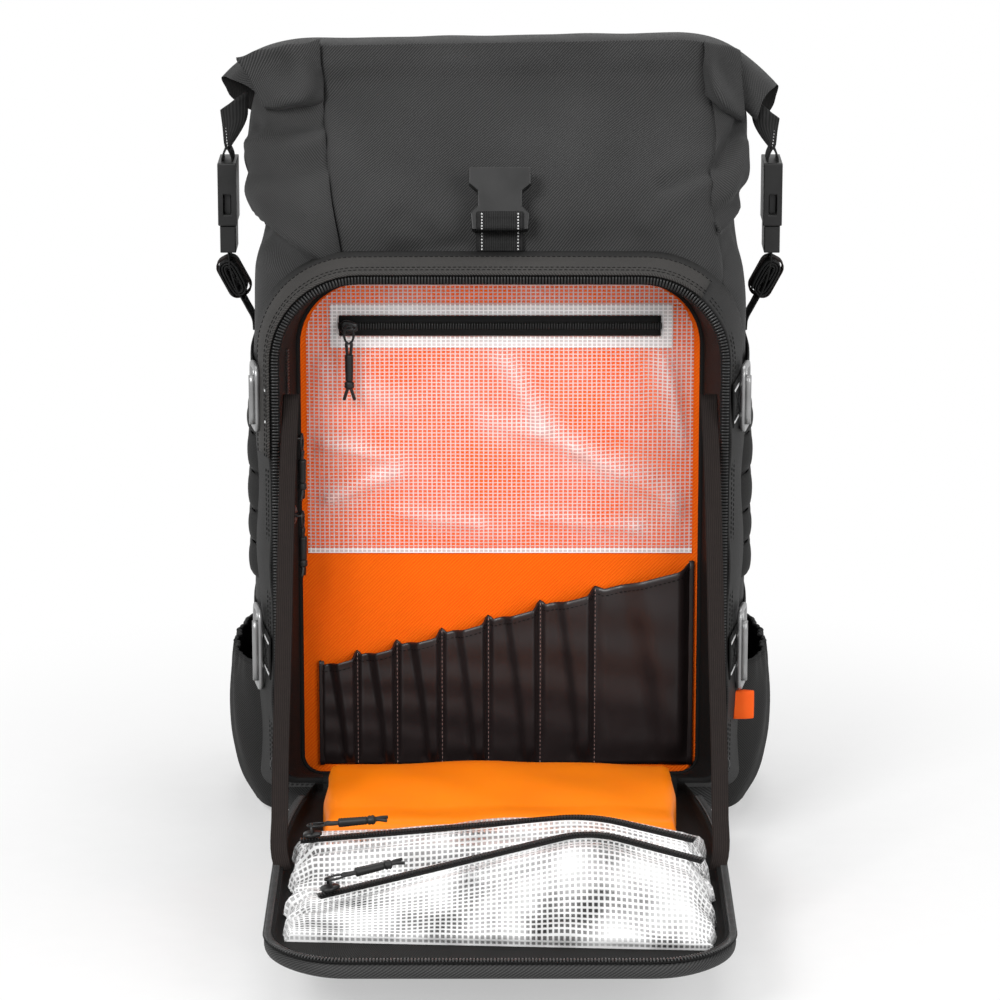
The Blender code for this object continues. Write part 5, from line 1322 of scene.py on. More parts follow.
piece("panel_shell", skin(shell_rings, ring=True, caps="end"), BALLISTIC, "front_panel",
                    ("panel_tray",))
lining_rings = [panel_ring(0.0002, 0.0), panel_ring(-0.0012, 0.0002), panel_ring(-0.0024, -0.0012),
                panel_ring(-0.0030, PANEL_FLOOR + 0.0012), panel_ring(-0.0048, PANEL_FLOOR)]
floor_plan = disc(PANEL_LINE, [0.93, 0.8, 0.6, 0.35, 0.1])
lining_rings = np.concatenate([lining_rings, on_panel(floor_plan[..., 0], floor_plan[..., 1], PANEL_FLOOR)])
piece(
    "panel_lining", skin(lining_rings, ring=True, caps="end", flip=True), LINING, "front_panel")
rim_points = np.where(PANEL_LINE[:, 1] > 0.030)[0]
panel_coil = panel_ring(0.0006, 0.0018)[rim_points]
piece(
    "panel_zip_teeth", zip_chain(panel_coil, (0, 0, 1), 0.0050), TEETH, "front_panel",
    ("panel_zip",))
piece("panel_zip_tape", ribbon(panel_ring(-0.0003, 0.0009)[rim_points], 0.0074, 0.0010, (0, 0, 1)), ZIP_TAPE,
      "front_panel")
piece("panel_rim_stitching", stitches(panel_ring(-0.0032, 0.0016)[rim_points], (0, 0, 1)), BLACK_THREAD,
      "front_panel")

hinge_line = np.array([[-0.1642, 0.0562], [-0.1664, 0.0556], [-0.1682, 0.0540], [-0.1697, 0.0508],
                       [-0.1722, 0.0470], [-0.1765, 0.0459]])
hinge_path = follow(np.linspace(0, 5, 21), np.arange(6), hinge_line)
hinge_x = np.linspace(-0.1205, 0.1205, 60)[None, :]
hinge_sheet = stacked(hinge_x, hinge_path[:, :1] + 0.0003 * np.sin(90 * hinge_x), hinge_path[:, 1:])
piece(
    "hinge_cloth", skin(hinge_sheet, flip=True), LINING,
    ("bag", "front_panel", (0, -0.1660, 0.0535), (0, -0.1740, 0.0465)),
    ("hinge_strip",), thick=0.0010)

# %% [markdown]
# ## The pouches on the panel
# Each mesh pouch is a low tent of white net, highest along its zip. A section is drawn at every x by a
# smooth line through a few points, from the rear foot over the zip to the front foot. The net is
# wrinkled along its length and ruffled at its ends, where it is gathered into the seam.


# %% Mesh pouches
def bent(start, bend, end, reach=0.022):
    """Two straight runs whose bend is rounded by a quadratic curve."""
    start, bend, end = (np.array(point, float) for point in (start, bend, end))
    before = bend + unit(start - bend) * reach
    after = bend + unit(end - bend) * reach
    t = np.linspace(0, 1, 17)[:, None]
    middle = before * (1 - t) ** 2 + 2 * bend * t * (1 - t) + after * t ** 2
    return spaced(np.concatenate([[start], middle, [end]]), 120)


REAR_ZIP = bent((-0.128, 0.169, 0.018), (0.058, 0.177, 0.038), (0.124, 0.196, 0.028))
FRONT_ZIP = bent((-0.113, 0.262, 0.014), (0.057, 0.206, 0.038), (0.128, 0.230, 0.026))
MESH_HALF = 0.1330
POUCH_HEM = 0.006
net_x = np.concatenate([[-0.1334], np.linspace(-0.1330, 0.1330, 150), [0.1334]])
net_rise = np.linspace(0.0, 1.0, 70)


def net_pouch(near, ridge, top, far, hem=POUCH_HEM):
    """Sections from the rear foot over the ridge to the front foot, for every x at once."""
    end = smoothstep(MESH_HALF - np.abs(net_x), -0.0002, 0.016)
    gone = smoothstep(0.1334 - np.abs(net_x), 0.0, 0.003)
    edge = PANEL_FLOOR + hem
    top = edge + (top - 0.0013 - edge) * (0.30 + 0.70 * end)
    back = np.maximum(ridge - 0.007, near + 0.002)
    front = np.minimum(ridge + 0.007, far - 0.002)
    slope = edge + 0.66 * (top - edge)
    outs = np.stack(
        [near, near, near + 0.52 * (back - near), back, front, far - 0.55 * (far - front), far, far])
    floor_row = 0 * top + PANEL_FLOOR
    edge_row = 0 * top + edge
    rises = np.stack([floor_row, edge_row, slope, top, top, slope, edge_row, floor_row])
    rises = PANEL_FLOOR + (rises - PANEL_FLOOR) * gone
    knots = np.array([0.0, 0.07, 0.26, 0.42, 0.56, 0.76, 0.93, 1.0])
    out = follow(net_rise, knots, outs)
    rise = follow(net_rise, knots, rises)
    return on_panel(net_x[None, :], out, rise)


rear_t, rear_h = (np.interp(net_x, REAR_ZIP[:, 0], REAR_ZIP[:, part]) for part in (1, 2))
front_t, front_h = (np.interp(net_x, FRONT_ZIP[:, 0], FRONT_ZIP[:, part]) for part in (1, 2))
between = (rear_t + front_t) / 2
corner_over = np.maximum(0.0, np.abs(net_x) - PANEL_HALF + PANEL_ROUND)
corner_front = (
    PANEL_LONG - PANEL_ROUND + np.sqrt(np.maximum((PANEL_ROUND - 0.009) ** 2 - corner_over ** 2, 0.0)))
front_hem = np.minimum(0.296 + 0.060 * net_x, corner_front)
rear_net = net_pouch(0 * net_x + 0.117, rear_t, rear_h, between - 0.0015)
front_net = net_pouch(between + 0.0015, front_t, front_h, front_hem)
NET_POUCHES = (("rear", rear_net, 0.0, "rear_pouch"), ("front", front_net, 1.7, "front_pouch"))
for name, net, seed, stands_for in NET_POUCHES:
    x = net[..., 0]
    s = net_rise[:, None]
    free = smoothstep(s, 0.02, 0.12) * smoothstep(1 - s, 0.02, 0.10) * (1 - np.exp(-((s - 0.49) / 0.10) ** 2))
    wrinkle = 0.0014 * np.sin(24 * s + 3.0 * np.sin(13 * x + seed) + 9 * x + seed)
    wrinkle = wrinkle + 0.0010 * np.sin(41 * s - 2.2 * np.sin(21 * x + 2 * seed) - 17 * x)
    gather = np.exp(-((MESH_HALF - np.abs(x)) / 0.020) ** 2)
    wrinkle = wrinkle * (1 + 0.5 * gather) + 0.0007 * gather * np.sin(55 * s + 30 * x + seed)
    wrinkle = (
        wrinkle
        + 0.0009 * np.sin(160 * x + seed) * smoothstep(s, 0.80, 0.95) * smoothstep(1 - s, 0.0, 0.05))
    made = piece(
        name + "_net", skin(puff(net, free * wrinkle, -1.0), flip=True), NET, "front_panel",
        (stands_for,))

SLIDE_STOP = 0.008
for name, route in (("rear", REAR_ZIP), ("front", FRONT_ZIP)):
    line = on_panel(route[:, 0], route[:, 1], route[:, 2] + 0.0002)
    piece(
        name + "_pouch_teeth", zip_chain(line, (0, 0, 1), 0.0044, 0.0019), TEETH, "front_panel",
        (name + "_pouch_zip",))
    piece(name + "_pouch_tape", ribbon(line - np.array([0, 0, 0.0008]), 0.0105, 0.0008, (0, 0, 1)), ZIP_TAPE,
          "front_panel")
    along = unit(line[20] - line[0])
    across = unit(np.cross(UP, along))
    out = np.cross(along, across)
    place = line[0] - np.array([0, 0, 0.0002]) + along * SLIDE_STOP + out * 0.001
    zip_slider(name + "_pouch_zip_slider", place, along, out, across, SMALL, name + "_pouch_slider",
               (name + "_pouch_slider",))
    zip_pull(name + "_pouch_zip_pull", place + out * EYE_RISE, along, out, 0.048, name + "_pouch_pull",
             (name + "_pouch_pull",))

# %% Orange pouch
ORANGE_HALF = 0.116
ORANGE_REAR = 0.0140
ORANGE_FRONT = 0.1102
ORANGE_TALL = 0.028
pouch_x = np.concatenate(
    [[-ORANGE_HALF - 0.0003], np.linspace(-ORANGE_HALF, ORANGE_HALF, 120), [ORANGE_HALF + 0.0003]])
pouch_s = np.linspace(0.0, 1.0, 60)
pouch_full = np.interp(
    np.abs(pouch_x) / ORANGE_HALF, [0.0, 0.6, 0.95, 0.985, 1.0, 1.002],
    [1.0, 0.97, 0.94, 0.86, 0.6, 0.0])
pouch_out = ORANGE_REAR + (ORANGE_FRONT - ORANGE_REAR) * np.array([0.0, 0.0, 0.04, 0.35, 0.75, 1.0, 1.0])
pouch_rise = (
    np.array([0.0, 0.70, 0.97, 1.0, 0.72, 0.35, 0.0])[:, None] * ORANGE_TALL * pouch_full + PANEL_FLOOR)
pouch_knots = np.array([0.0, 0.08, 0.20, 0.42, 0.74, 0.95, 1.0])
pouch_top = on_panel(pouch_x[None, :], follow(pouch_s, pouch_knots, pouch_out)[:, None],
                     follow(pouch_s, pouch_knots, pouch_rise))
pouch_wave = (
    0.0008 * np.sin(30 * pouch_x + 8 * pouch_s[:, None])
    + 0.0005 * np.sin(75 * pouch_x - 14 * pouch_s[:, None]))
pouch_free = (smoothstep(pouch_s, 0.05, 0.25) * smoothstep(1 - pouch_s, 0.05, 0.2))[:, None]
piece(
    "orange_pouch_vinyl", skin(puff(pouch_top, pouch_wave * pouch_free, -1.0), flip=True), ORANGE_VINYL,
    "front_panel", ("orange_pouch",))
pouch_zip = on_panel(np.linspace(-0.10, 0.112, 60), ORANGE_FRONT - 0.0015, PANEL_FLOOR + 0.36 * ORANGE_TALL)
piece(
    "orange_pouch_teeth", zip_chain(pouch_zip, (0, -0.5, 1), 0.0042, 0.0019), TEETH, "front_panel")
piece(
    "orange_pouch_tape", ribbon(pouch_zip - np.array([0, 0, 0.0008]), 0.0095, 0.0008, (0, -0.5, 1)),
    ZIP_TAPE, "front_panel")

# %% [markdown]
# ## Straps
# Tape from the sides of the opening holds the panel level. It crosses the hinge, so it is blended from
# the bag to the panel.

# %% Retention straps
for side, sign in SIDES:
    stay = curve(
        [
            [sign * 0.1398, -0.1500, 0.3190], [sign * 0.1412, -0.1850, 0.2700],
            [sign * 0.1420, -0.2520, 0.1720], [sign * 0.1424, -0.3180, 0.0800],
            [sign * 0.1416, -0.3390, 0.0590], [sign * 0.1392, -0.3440, 0.0510]],
        64)
    piece(side + "_stay", ribbon(stay, 0.0110, 0.0015, (0, -1, 0.6)), STAY_TAPE,
          ("bag", "front_panel", (sign * 0.14, -0.156, 0.310), (sign * 0.1424, -0.338, 0.060)),
          (side + "_retention_strap",))

# %% [markdown]
# Webbing runs from the zip's edge round each side, with two woven light lines and a box stitch, and a
# plain metal hook stands on it. The hooks turn on their own hinges.

# %% Side straps and hooks
STRAP_WIDE = 0.030
STRAP_PATH = np.array(
    [[0.1558, -0.1593], [0.1612, -0.1300], [0.1670, -0.1003], [0.1712, -0.0550], [0.1715, 0.0200]])
HOOK_ALONG = unit(np.array([0.0113, 0.0590, 0.0]))
HOOK_SIZES = {"upper": (0.313, 0.046), "lower": (0.137, 0.058)}


def mirrored(points, sign):
    return np.asarray(points) * np.array([sign, 1.0, 1.0])


for side, sign in SIDES:
    for level, (z, tall) in HOOK_SIZES.items():
        path = mirrored(curve(stacked(STRAP_PATH[:, 0], STRAP_PATH[:, 1], z), 60), sign)
        outward = np.array([sign * 0.98, -0.19, 0.0])
        name = side + "_" + level
        piece(
            name + "_webbing", ribbon(path, STRAP_WIDE, 0.0018, outward), WEBBING, "bag",
            (name + "_strap",))
        lines, boxes = [], []
        for rise in (-0.0108, 0.0108):
            for first, last in ((0, 8), (9, 17)):
                run = path[first:last] + outward * 0.0010 + np.array([0, 0, rise])
                lines.append(ribbon(run, 0.0016, 0.0006, outward))
        piece(name + "_light_lines", lines, WHITE_THREAD, "bag")
        near, far = path[1] + outward * 0.0011, path[9] + outward * 0.0011
        corners = [near + UP * 0.009, far + UP * 0.009, far - UP * 0.009, near - UP * 0.009]
        for first, last in ((0, 1), (1, 2), (2, 3), (0, 2), (1, 3)):
            run = np.linspace(corners[first], corners[last], 12)
            boxes.append(stitches(run, outward, 0.0018, 0.0026, 0.0005))
        piece(name + "_box_stitch", boxes, BLACK_THREAD, "bag")

        along = mirrored(HOOK_ALONG, sign)
        start = np.array([sign * 0.162728, -0.142408, z])
        middle = start + along * 0.014
        frame_line = rounded(0.0118, -tall / 2 + 0.0022, tall / 2 - 0.0022, 0.005, 0.005, 7, 9)
        frame_path = middle + frame_line[:, :1] * along + frame_line[:, 1:] * UP
        frame_bar = sweep(frame_path, round_profile(0.0044, 0.0034, 12, 0.45), outward, loop=True)
        bar_half = UP * (tall / 2 - 0.004)
        bar_path = np.linspace(middle - bar_half, middle + bar_half, 8) + along * 0.002
        inner_bar = sweep(bar_path, round_profile(0.0036, 0.0028, 10, 0.6), outward)
        lip_path = (
            np.linspace(middle - UP * tall * 0.36, middle + UP * tall * 0.36, 8) - along * 0.0105
            + outward * 0.0030)
        lip = sweep(lip_path, round_profile(0.0050, 0.0050, 12, 0.6), outward)
        piece(
            name + "_metal_hook", [frame_bar, inner_bar, lip], HOOK, name + "_hook",
            (name + "_hook",))

# %% [markdown]
# Low stretch pockets bulge from both sides, with a bound rim. Above them a doubled panel is slit in rows,
# so that each row can take a clip. The rows are short bands that lift a little between their anchors.


# %% Side pockets and slit panels
def flank(y):
    """Distance from the middle to the bag's side at y, round its upright corners."""
    over = np.maximum(np.maximum(CORNER - 0.100 - y, y - 0.092 + CORNER), 0.0)
    return 0.170 - CORNER + np.sqrt(np.maximum(CORNER ** 2 - over ** 2, 0.0))


POCKET_LEVELS = [0.0, 0.12, 0.35, 0.60, 0.85, 1.0]
POCKET_FULL = [0.0, 0.50, 0.90, 1.0, 0.90, 0.80]
SLIT_EDGES = (0.1700, 0.1948, 0.2176, 0.2451, 0.2726, 0.2920)
pocket_t = np.linspace(0.0, 1.0, 70)[None, :]
pocket_r = np.linspace(0.0, 1.0, 40)[:, None]
pocket_y = 0.046 - 0.136 * pocket_t
pocket_bulge = 0.0190 * follow(pocket_r, POCKET_LEVELS, POCKET_FULL) * np.sin(math.pi * pocket_t) ** 0.5
pocket_bulge = pocket_bulge + 0.0012 * np.sin(math.pi * pocket_t) * np.sin(34 * pocket_t + 9 * pocket_r)
pocket_bulge = (
    pocket_bulge
    + 0.0008 * np.sin(95 * pocket_t) * smoothstep(pocket_r, 0.82, 1.0) * np.sin(math.pi * pocket_t))
for side, sign in SIDES:
    pocket = stacked(
        sign * (flank(pocket_y) + 0.0006 + np.maximum(pocket_bulge, 0.0)), pocket_y,
        0.006 + 0.1038 * pocket_r)
    piece(side + "_stretch_pocket", skin(pocket, flip=sign < 0), GUSSET, "bag",
          (side + "_side_pocket",), thick=0.0012)
    piece(
        side + "_pocket_rim", tube(pocket[-1] + np.array([0, 0, 0.0004]), 0.0030, (0, 0, 1)), WEBBING,
        "bag")
    bands = []
    for low, high in zip(SLIT_EDGES, SLIT_EDGES[1:]):
        y = np.linspace(-0.088, 0.030, 60)[None, :]
        rise = np.linspace(0.0, 1.0, 9)[:, None]
        lift = np.abs(np.sin((y + 0.088) / 0.118 * 3 * math.pi)) ** 0.7
        swell = 0.0012 + lift * (0.0020 + 0.0026 * np.sin(math.pi * rise) ** 0.5)
        z = low + 0.0008 + (high - low - 0.0016) * rise
        bands.append(skin(stacked(sign * (flank(y) + swell), y, z), flip=sign < 0))
    piece(side + "_slit_panel", bands, GUSSET, "bag", thick=0.0010)
    anchors = []
    for y in (-0.088, -0.0487, -0.0093, 0.030):
        column = stacked(sign * (flank(np.array(y)) + 0.0020), y, np.linspace(0.172, 0.290, 40))
        anchors.append(stitches(column, (sign, 0, 0)))
    piece(side + "_slit_stitching", anchors, BLACK_THREAD, "bag")

# %% [markdown]
# ## Buckles
# The moulded buckles are the CAD solids themselves, with softened edges and a rubbed plastic finish.
# Around them come the sewn parts: the tab that hangs from the roll, its loop through the socket, and
# the webbing below, whose spare tail is rolled up and held by a keeper.

# %% Moulded buckles
MOULDED = ["front_socket"]
for side in ("left", "right"):
    MOULDED += [side + "_socket", side + "_plug", side + "_front_prong", side + "_rear_prong"]
for name in MOULDED:
    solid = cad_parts[name]
    weld = solid.modifiers.new("weld", "WELD")
    weld.merge_threshold = 0.00002
    edge_round = solid.modifiers.new("edges", "BEVEL")
    edge_round.width = 0.0009
    edge_round.segments = 3
    edge_round.limit_method = "ANGLE"
    solid.data.materials.clear()
    solid.data.materials.append(BUCKLE)
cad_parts["frame_sheet"].data.materials.clear()
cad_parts["frame_sheet"].data.materials.append(FRAME_PLASTIC)

# %% Tabs, loops and keepers
BUCKLE_X = 0.1885
BUCKLE_Y = -0.004
SLIM = 0.025
KEEPER_X = 0.1855
KEEPER_Z = 0.3690
KEEPER_LEAN = math.radians(-28)


def loop_outward(path):
    """Outward way along a closed upright loop, its ends repeated: back crossed with the slope."""
    out = np.cross(BACKWARD, np.roll(path, -1, axis=0) - np.roll(path, 1, axis=0))
    return np.concatenate([out[-1:], out, out[:1]])


for side, sign in SIDES:
    t = np.linspace(0.0, 1.0, 14)[:, None]
    c = np.linspace(0.0, 1.0, 12)[None, :]
    outer = 0.1912 - 0.0020 * t
    inner = 0.1750 + 0.0120 * smoothstep(t, 0.35, 1.0)
    tab_x = inner + (outer - inner) * c
    roll_foot = ROLL_LOW + 0.004 - droop(sign * tab_x) + CREASE_TILT * sign * tab_x
    tab_z = 0.4600 + (np.maximum(roll_foot, 0.479) - 0.4600) * (1 - t)
    tab = stacked(sign * tab_x, BUCKLE_Y - 0.006 - 0.004 * np.sin(math.pi * c) * (1 - t), tab_z)
    piece(
        side + "_tab", skin(tab, flip=sign > 0), WEBBING, "roll_top", (side + "_end_tab",),
        thick=0.0030, inside=1.0)
    tab_edge = tab[:, -1] + np.array([-sign * 0.0012, -0.0034, 0.0])
    piece(
        side + "_tab_stitching", stitches(tab_edge, (0, -1, 0), 0.0012, 0.0022, 0.0008), WHITE_THREAD,
        "roll_top")
    angle = np.linspace(0, math.tau, 33)[:-1]
    pear = 0.0030 * np.sin(angle) * (1 - 0.75 * np.cos(angle))
    loop_path = stacked(sign * (BUCKLE_X + pear), BUCKLE_Y, 0.4555 + 0.0065 * np.cos(angle))
    piece(
        side + "_tab_loop",
        sweep(loop_path, round_profile(SLIM, 0.0014, 12, 0.4), loop_outward(loop_path), loop=True),
        WEBBING, "roll_top")

    strap = curve(
        [
            [sign * BUCKLE_X, BUCKLE_Y, 0.3890], [sign * 0.1880, BUCKLE_Y, 0.3800],
            [sign * 0.1840, BUCKLE_Y, 0.3640], [sign * 0.1765, BUCKLE_Y, 0.3490],
            [sign * 0.1722, BUCKLE_Y, 0.3400], [sign * 0.1716, BUCKLE_Y, 0.3329]],
        40)
    across = np.cross(BACKWARD, np.gradient(strap, axis=0))
    web = sweep(strap, round_profile(SLIM, 0.0018, 12, 0.4), across)
    turns = np.linspace(0.0, 2.6 * math.tau, 90)
    radius = 0.0016 + 0.0020 * turns / math.tau
    flat_x = radius * np.cos(turns)
    flat_z = radius * np.sin(turns) * 0.9 + 0.0080 * np.tanh(2.5 * np.sin(turns))
    lean = KEEPER_LEAN * sign
    roll_path = stacked(sign * KEEPER_X + flat_x * math.cos(lean) - flat_z * math.sin(lean), BUCKLE_Y,
                        KEEPER_Z + flat_x * math.sin(lean) + flat_z * math.cos(lean))
    roll_out = np.cross(BACKWARD, np.gradient(roll_path, axis=0))
    tail = sweep(roll_path, round_profile(SLIM, 0.0016, 10, 0.4), roll_out)
    piece(side + "_buckle_webbing", [web, tail], WEBBING, "bag", (side + "_buckle_web",))
    band_line = rounded(0.0078, -0.0145, 0.0145, 0.006, 0.006, 6, 5)
    band_path = stacked(
        sign * KEEPER_X + band_line[:, 0] * math.cos(lean) - band_line[:, 1] * math.sin(lean), BUCKLE_Y,
        KEEPER_Z + band_line[:, 0] * math.sin(lean) + band_line[:, 1] * math.cos(lean))
    piece(
        side + "_keeper",
        sweep(band_path, round_profile(0.012, 0.0014, 10, 0.4), loop_outward(band_path), loop=True),
        STAY_TAPE, "bag")

# %% Middle buckle's web
BUCKLE_LEAN = math.radians(20)
BUCKLE_UP = np.array([0.0, math.sin(BUCKLE_LEAN), math.cos(BUCKLE_LEAN)])
BUCKLE_OUT = np.array([0.0, -math.cos(BUCKLE_LEAN), math.sin(BUCKLE_LEAN)])
web_low = np.array([0.0, -0.0975, 0.4188])
web_high = np.array([0.0, -0.0938, 0.4305])
web_path = curve([[0.0, -0.1024, 0.4070], [0.0, -0.1016, 0.4135], web_low - [0.0, 0.0015, 0.0], web_high], 24)
piece(
    "front_webbing", ribbon(web_path, 0.0320, 0.0018, BUCKLE_OUT), WEBBING, "bag",
    ("front_web",))
web_dots = [stitches(web_path[1:14] + RIGHT * x + BUCKLE_OUT * 0.0011, BUCKLE_OUT, 0.0012, 0.0021, 0.0012)
            for x in (-0.0122, 0.0122)]
piece("front_webbing_stitching", web_dots, WHITE_THREAD, "bag")
socket_foot = np.array([0.0, -0.105441, 0.421735]) + BUCKLE_OUT * 0.0072
cover = curve(
    [
        socket_foot - BUCKLE_UP * 0.0006 - BUCKLE_OUT * 0.004, socket_foot + BUCKLE_UP * 0.0005,
        socket_foot + BUCKLE_UP * 0.006, socket_foot + BUCKLE_UP * 0.0105,
        socket_foot + BUCKLE_UP * 0.0122 - BUCKLE_OUT * 0.0016],
    24)
piece("front_web_cover", ribbon(cover, 0.0320, 0.0016, BUCKLE_OUT), WEBBING, "front_socket")
dots = []
for x in (-0.0122, 0.0122):
    dots.append(stitches(cover[2:20] + RIGHT * x + BUCKLE_OUT * 0.0010, BUCKLE_OUT, 0.0012, 0.0021, 0.0012))
piece("front_web_stitching", dots, WHITE_THREAD, "front_socket")

# %% [markdown]
# ## Inside zip and side tab
# A second zip runs down the left inside wall with two pulls. A small folded tab is sewn into the right
# side seam, left bare.

# %% Inside zip and side tab
inner_zip = stacked(-0.1428, -0.1350, np.linspace(0.346, 0.1715, 60))
piece("inside_zip_teeth", zip_chain(inner_zip, (1, -0.2, 0), 0.0050), TEETH, "bag")
piece(
    "inside_zip_tape", ribbon(inner_zip - np.array([0.0010, 0, 0]), 0.0160, 0.0010, (1, -0.2, 0)),
    ZIP_TAPE, "bag")
for index, z in enumerate((0.286, 0.232)):
    name = "inside_zip_" + str(index + 1)
    zip_out = unit(np.array([1.0, -0.2, 0.0]))
    place = np.array([-0.1418, -0.1352, z])
    zip_slider(name, place, UP, zip_out, unit(np.array([0.2, 1.0, 0.0])), SMALL, "bag")
    zip_pull(name + "_pull", place + zip_out * EYE_RISE, -UP, zip_out, 0.042, "bag")
tab_path = curve(
    [
        [0.1600, -0.1366, 0.097], [0.1690, -0.1364, 0.097], [0.1736, -0.1350, 0.097],
        [0.1690, -0.1336, 0.097], [0.1600, -0.1334, 0.097]],
    25)
tab_out = np.cross(np.gradient(tab_path, axis=0), UP)
piece(
    "side_tab", sweep(tab_path, round_profile(0.0200, 0.0010, 12, 0.4), -tab_out), TAB_ORANGE, "bag")

# %% [markdown]
# ## Back
# The back pad and the shoulder straps are foam under spacer mesh. Each starts as a slightly thin closed
# form, is remeshed into even cells and blown up by a cloth simulation, and how far a point may move is
# capped. The sewn channels come after it.


# %% Padded pieces
def inflate(shape, voxel, pressure, cap):
    """Blow up a closed form as cloth for 20 frames, each point moving at most cap, and give its mesh."""
    points, faces, _ = shape
    mesh = bpy.data.meshes.new("pad")
    mesh.from_pydata(points.tolist(), [], faces)
    work = bpy.data.objects.new("pad", mesh)
    scene.collection.objects.link(work)
    even = work.modifiers.new("even", "REMESH")
    even.mode = "VOXEL"
    even.voxel_size = voxel
    graph = bpy.context.evaluated_depsgraph_get()
    start = bpy.data.meshes.new_from_object(work.evaluated_get(graph))
    work.modifiers.clear()
    work.data = start
    rest = np.empty(len(start.vertices) * 3)
    start.vertices.foreach_get("co", rest)
    moved = rest
    cloth = work.modifiers.new("cloth", "CLOTH")
    cloth.settings.use_pressure = True
    cloth.settings.uniform_pressure_force = pressure
    cloth.settings.effector_weights.gravity = 0.0
    cloth.settings.quality = 5
    for step in range(1, 21):
        scene.frame_set(step)
    graph = bpy.context.evaluated_depsgraph_get()
    blown = work.evaluated_get(graph).data
    moved = np.empty(len(blown.vertices) * 3)
    blown.vertices.foreach_get("co", moved)
    scene.frame_set(1)
    rest, moved = rest.reshape(-1, 3), moved.reshape(-1, 3)
    shift = moved - rest
    far = np.linalg.norm(shift, axis=1, keepdims=True)
    shift = shift * np.minimum(1.0, cap / np.maximum(far, 1e-9))
    final = bpy.data.meshes.new("padded")
    final.from_pydata((rest + shift).tolist(), [], [list(face.vertices) for face in start.polygons])
    bpy.data.objects.remove(work)
    print("padded", len(rest), "points moved up to", round(float(np.linalg.norm(shift, axis=1).max()), 4))
    return final


def padded_piece(name, mesh, body, stands_for):
    """Object from an inflated mesh, smoothed once."""
    mesh.name = name
    mesh.materials.append(PAD_MESH)
    mesh.shade_smooth()
    made = bpy.data.objects.new(name, mesh)
    scene.collection.objects.link(made)
    rounder = made.modifiers.new("rounder", "SUBSURF")
    rounder.levels = 1
    rounder.render_levels = 1
    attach(made, body)
    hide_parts(stands_for)
    return made


PAD_LOW, PAD_HIGH, PAD_HALF_WIDE, PAD_BACK = 0.070, 0.365, 0.095, 0.0923
pad_line = rounded(PAD_HALF_WIDE - 0.004, PAD_LOW + 0.004, PAD_HIGH - 0.004, 0.028, 0.028)
pad_levels = (
    (1.0, 0.0012), (1.0, 0.006), (0.985, 0.010), (0.95, 0.0135), (0.8, 0.0155), (0.5, 0.0160),
    (0.2, 0.0160))
pad_rings = [disc(pad_line, [share])[0] for share, _ in pad_levels]
pad_shape = np.stack(
    [
        stacked(ring[:, 0], PAD_BACK + deep, ring[:, 1])
        for ring, (_, deep) in zip(pad_rings, pad_levels)])
pad_mesh = inflate(skin(pad_shape, ring=True, caps=True, flip=True), 0.005, 4.0, 0.006)
co = np.empty(len(pad_mesh.vertices) * 3)
pad_mesh.vertices.foreach_get("co", co)
co = co.reshape(-1, 3)
cross_seams = np.minimum(np.abs(co[:, 0] - 0.032), np.abs(co[:, 0] + 0.032))
level_seams = np.min(np.abs(co[:, 2:] - np.linspace(PAD_LOW, PAD_HIGH, 4)[None, 1:-1]), axis=1)
channel = 0.0065 * np.exp(-(np.minimum(cross_seams, level_seams) / 0.006) ** 2)
outer = co[:, 1] > PAD_BACK + 0.008
co[:, 1] = np.where(
    outer, np.maximum(co[:, 1] - channel, PAD_BACK + 0.003), np.maximum(co[:, 1], PAD_BACK + 0.0002))
pad_mesh.vertices.foreach_set("co", co.ravel())
padded_piece("back_padding", pad_mesh, "bag", "back_pad")

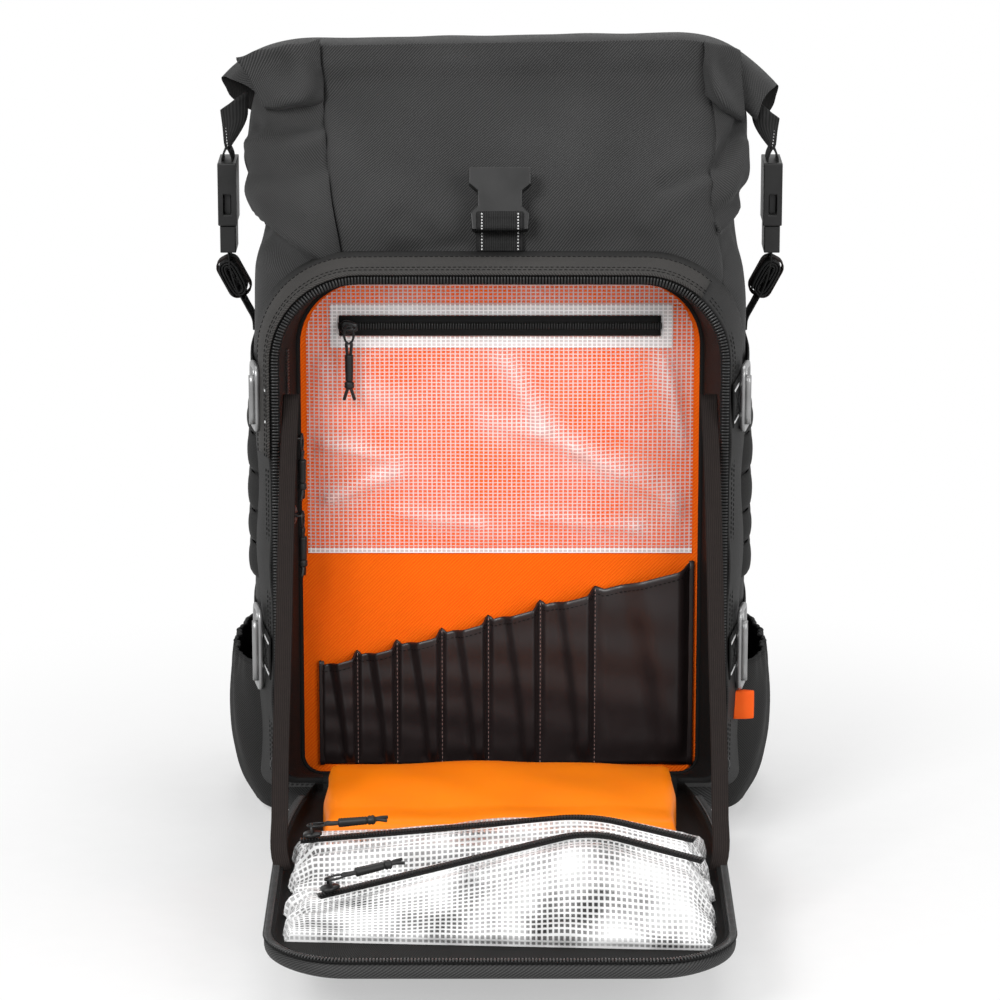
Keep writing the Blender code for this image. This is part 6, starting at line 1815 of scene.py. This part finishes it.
SHOULDER = np.array([
    [0.0740, 0.0980, 0.378], [0.0740, 0.0982, 0.408], [0.0740, 0.1070, 0.4312], [0.0750, 0.1270, 0.446],
    [0.0770, 0.1530, 0.4352], [0.0810, 0.1670, 0.3972], [0.0880, 0.1690, 0.330], [0.0970, 0.1590, 0.250],
    [0.1050, 0.1430, 0.1852], [0.1080, 0.1340, 0.150]])
for side, sign in SIDES:
    route = mirrored(curve(SHOULDER, 60), sign)
    t = np.linspace(0, 1, 60)
    wide = 1 - 0.36 * smoothstep(t, 0.86, 1.0)
    thin = 1 - 0.45 * (smoothstep(-t, -0.03, 0.0) + smoothstep(t, 0.97, 1.0))
    way = np.gradient(route, axis=0)
    face_out = np.cross(RIGHT, way)
    strap = sweep(route, round_profile(0.055, 0.0092, 24, 0.6), face_out, np.stack([wide, thin], -1))
    padded_piece(
        side + "_shoulder_pad", inflate(strap, 0.0045, 4.0, 0.0022), "bag", side + "_shoulder_strap")
    web = mirrored(curve([[0.1080, 0.1336, 0.1494], [0.1088, 0.1310, 0.1420], [0.1120, 0.1216, 0.1080],
                          [0.1140, 0.0945, 0.0600], [0.1140, 0.0935, 0.0400]], 40), sign)
    web_out = np.cross(RIGHT, np.gradient(web, axis=0))
    piece(
        side + "_shoulder_webbing", sweep(web, round_profile(SLIM, 0.0018, 12, 0.4), web_out), WEBBING,
        "bag", (side + "_shoulder_web",))

# %% Haul handle
handle_half = [
    [0.030, 0.0857, 0.436], [0.032, 0.0939, 0.4275], [0.031, 0.1020, 0.4156], [0.0225, 0.1071, 0.4054]]
handle_route = handle_half + [[0.0, 0.1090, 0.4020]] + [[-x, y, z] for x, y, z in handle_half[::-1]]
handle = curve(handle_route, 70)
grip = 0.78 + 0.22 * np.sin(math.pi * np.linspace(0, 1, 70)) ** 0.3
piece(
    "haul_loop", tube(handle, 0.0086, (0, 1, 0), 14, np.stack([grip, grip], -1)), WEBBING,
    "haul_handle", ("haul_handle",))

# %% [markdown]
# ## Size
# The box of the dressed pack is measured beside the CAD box. The dressed pack has to stay inside
# the CAD box, apart from a little for cloth that stands proud.

# %% Size and finish
visual_low, visual_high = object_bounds()
boxes = {"cad": [list(cad_low), list(cad_high)], "visual": [list(visual_low), list(visual_high)]}
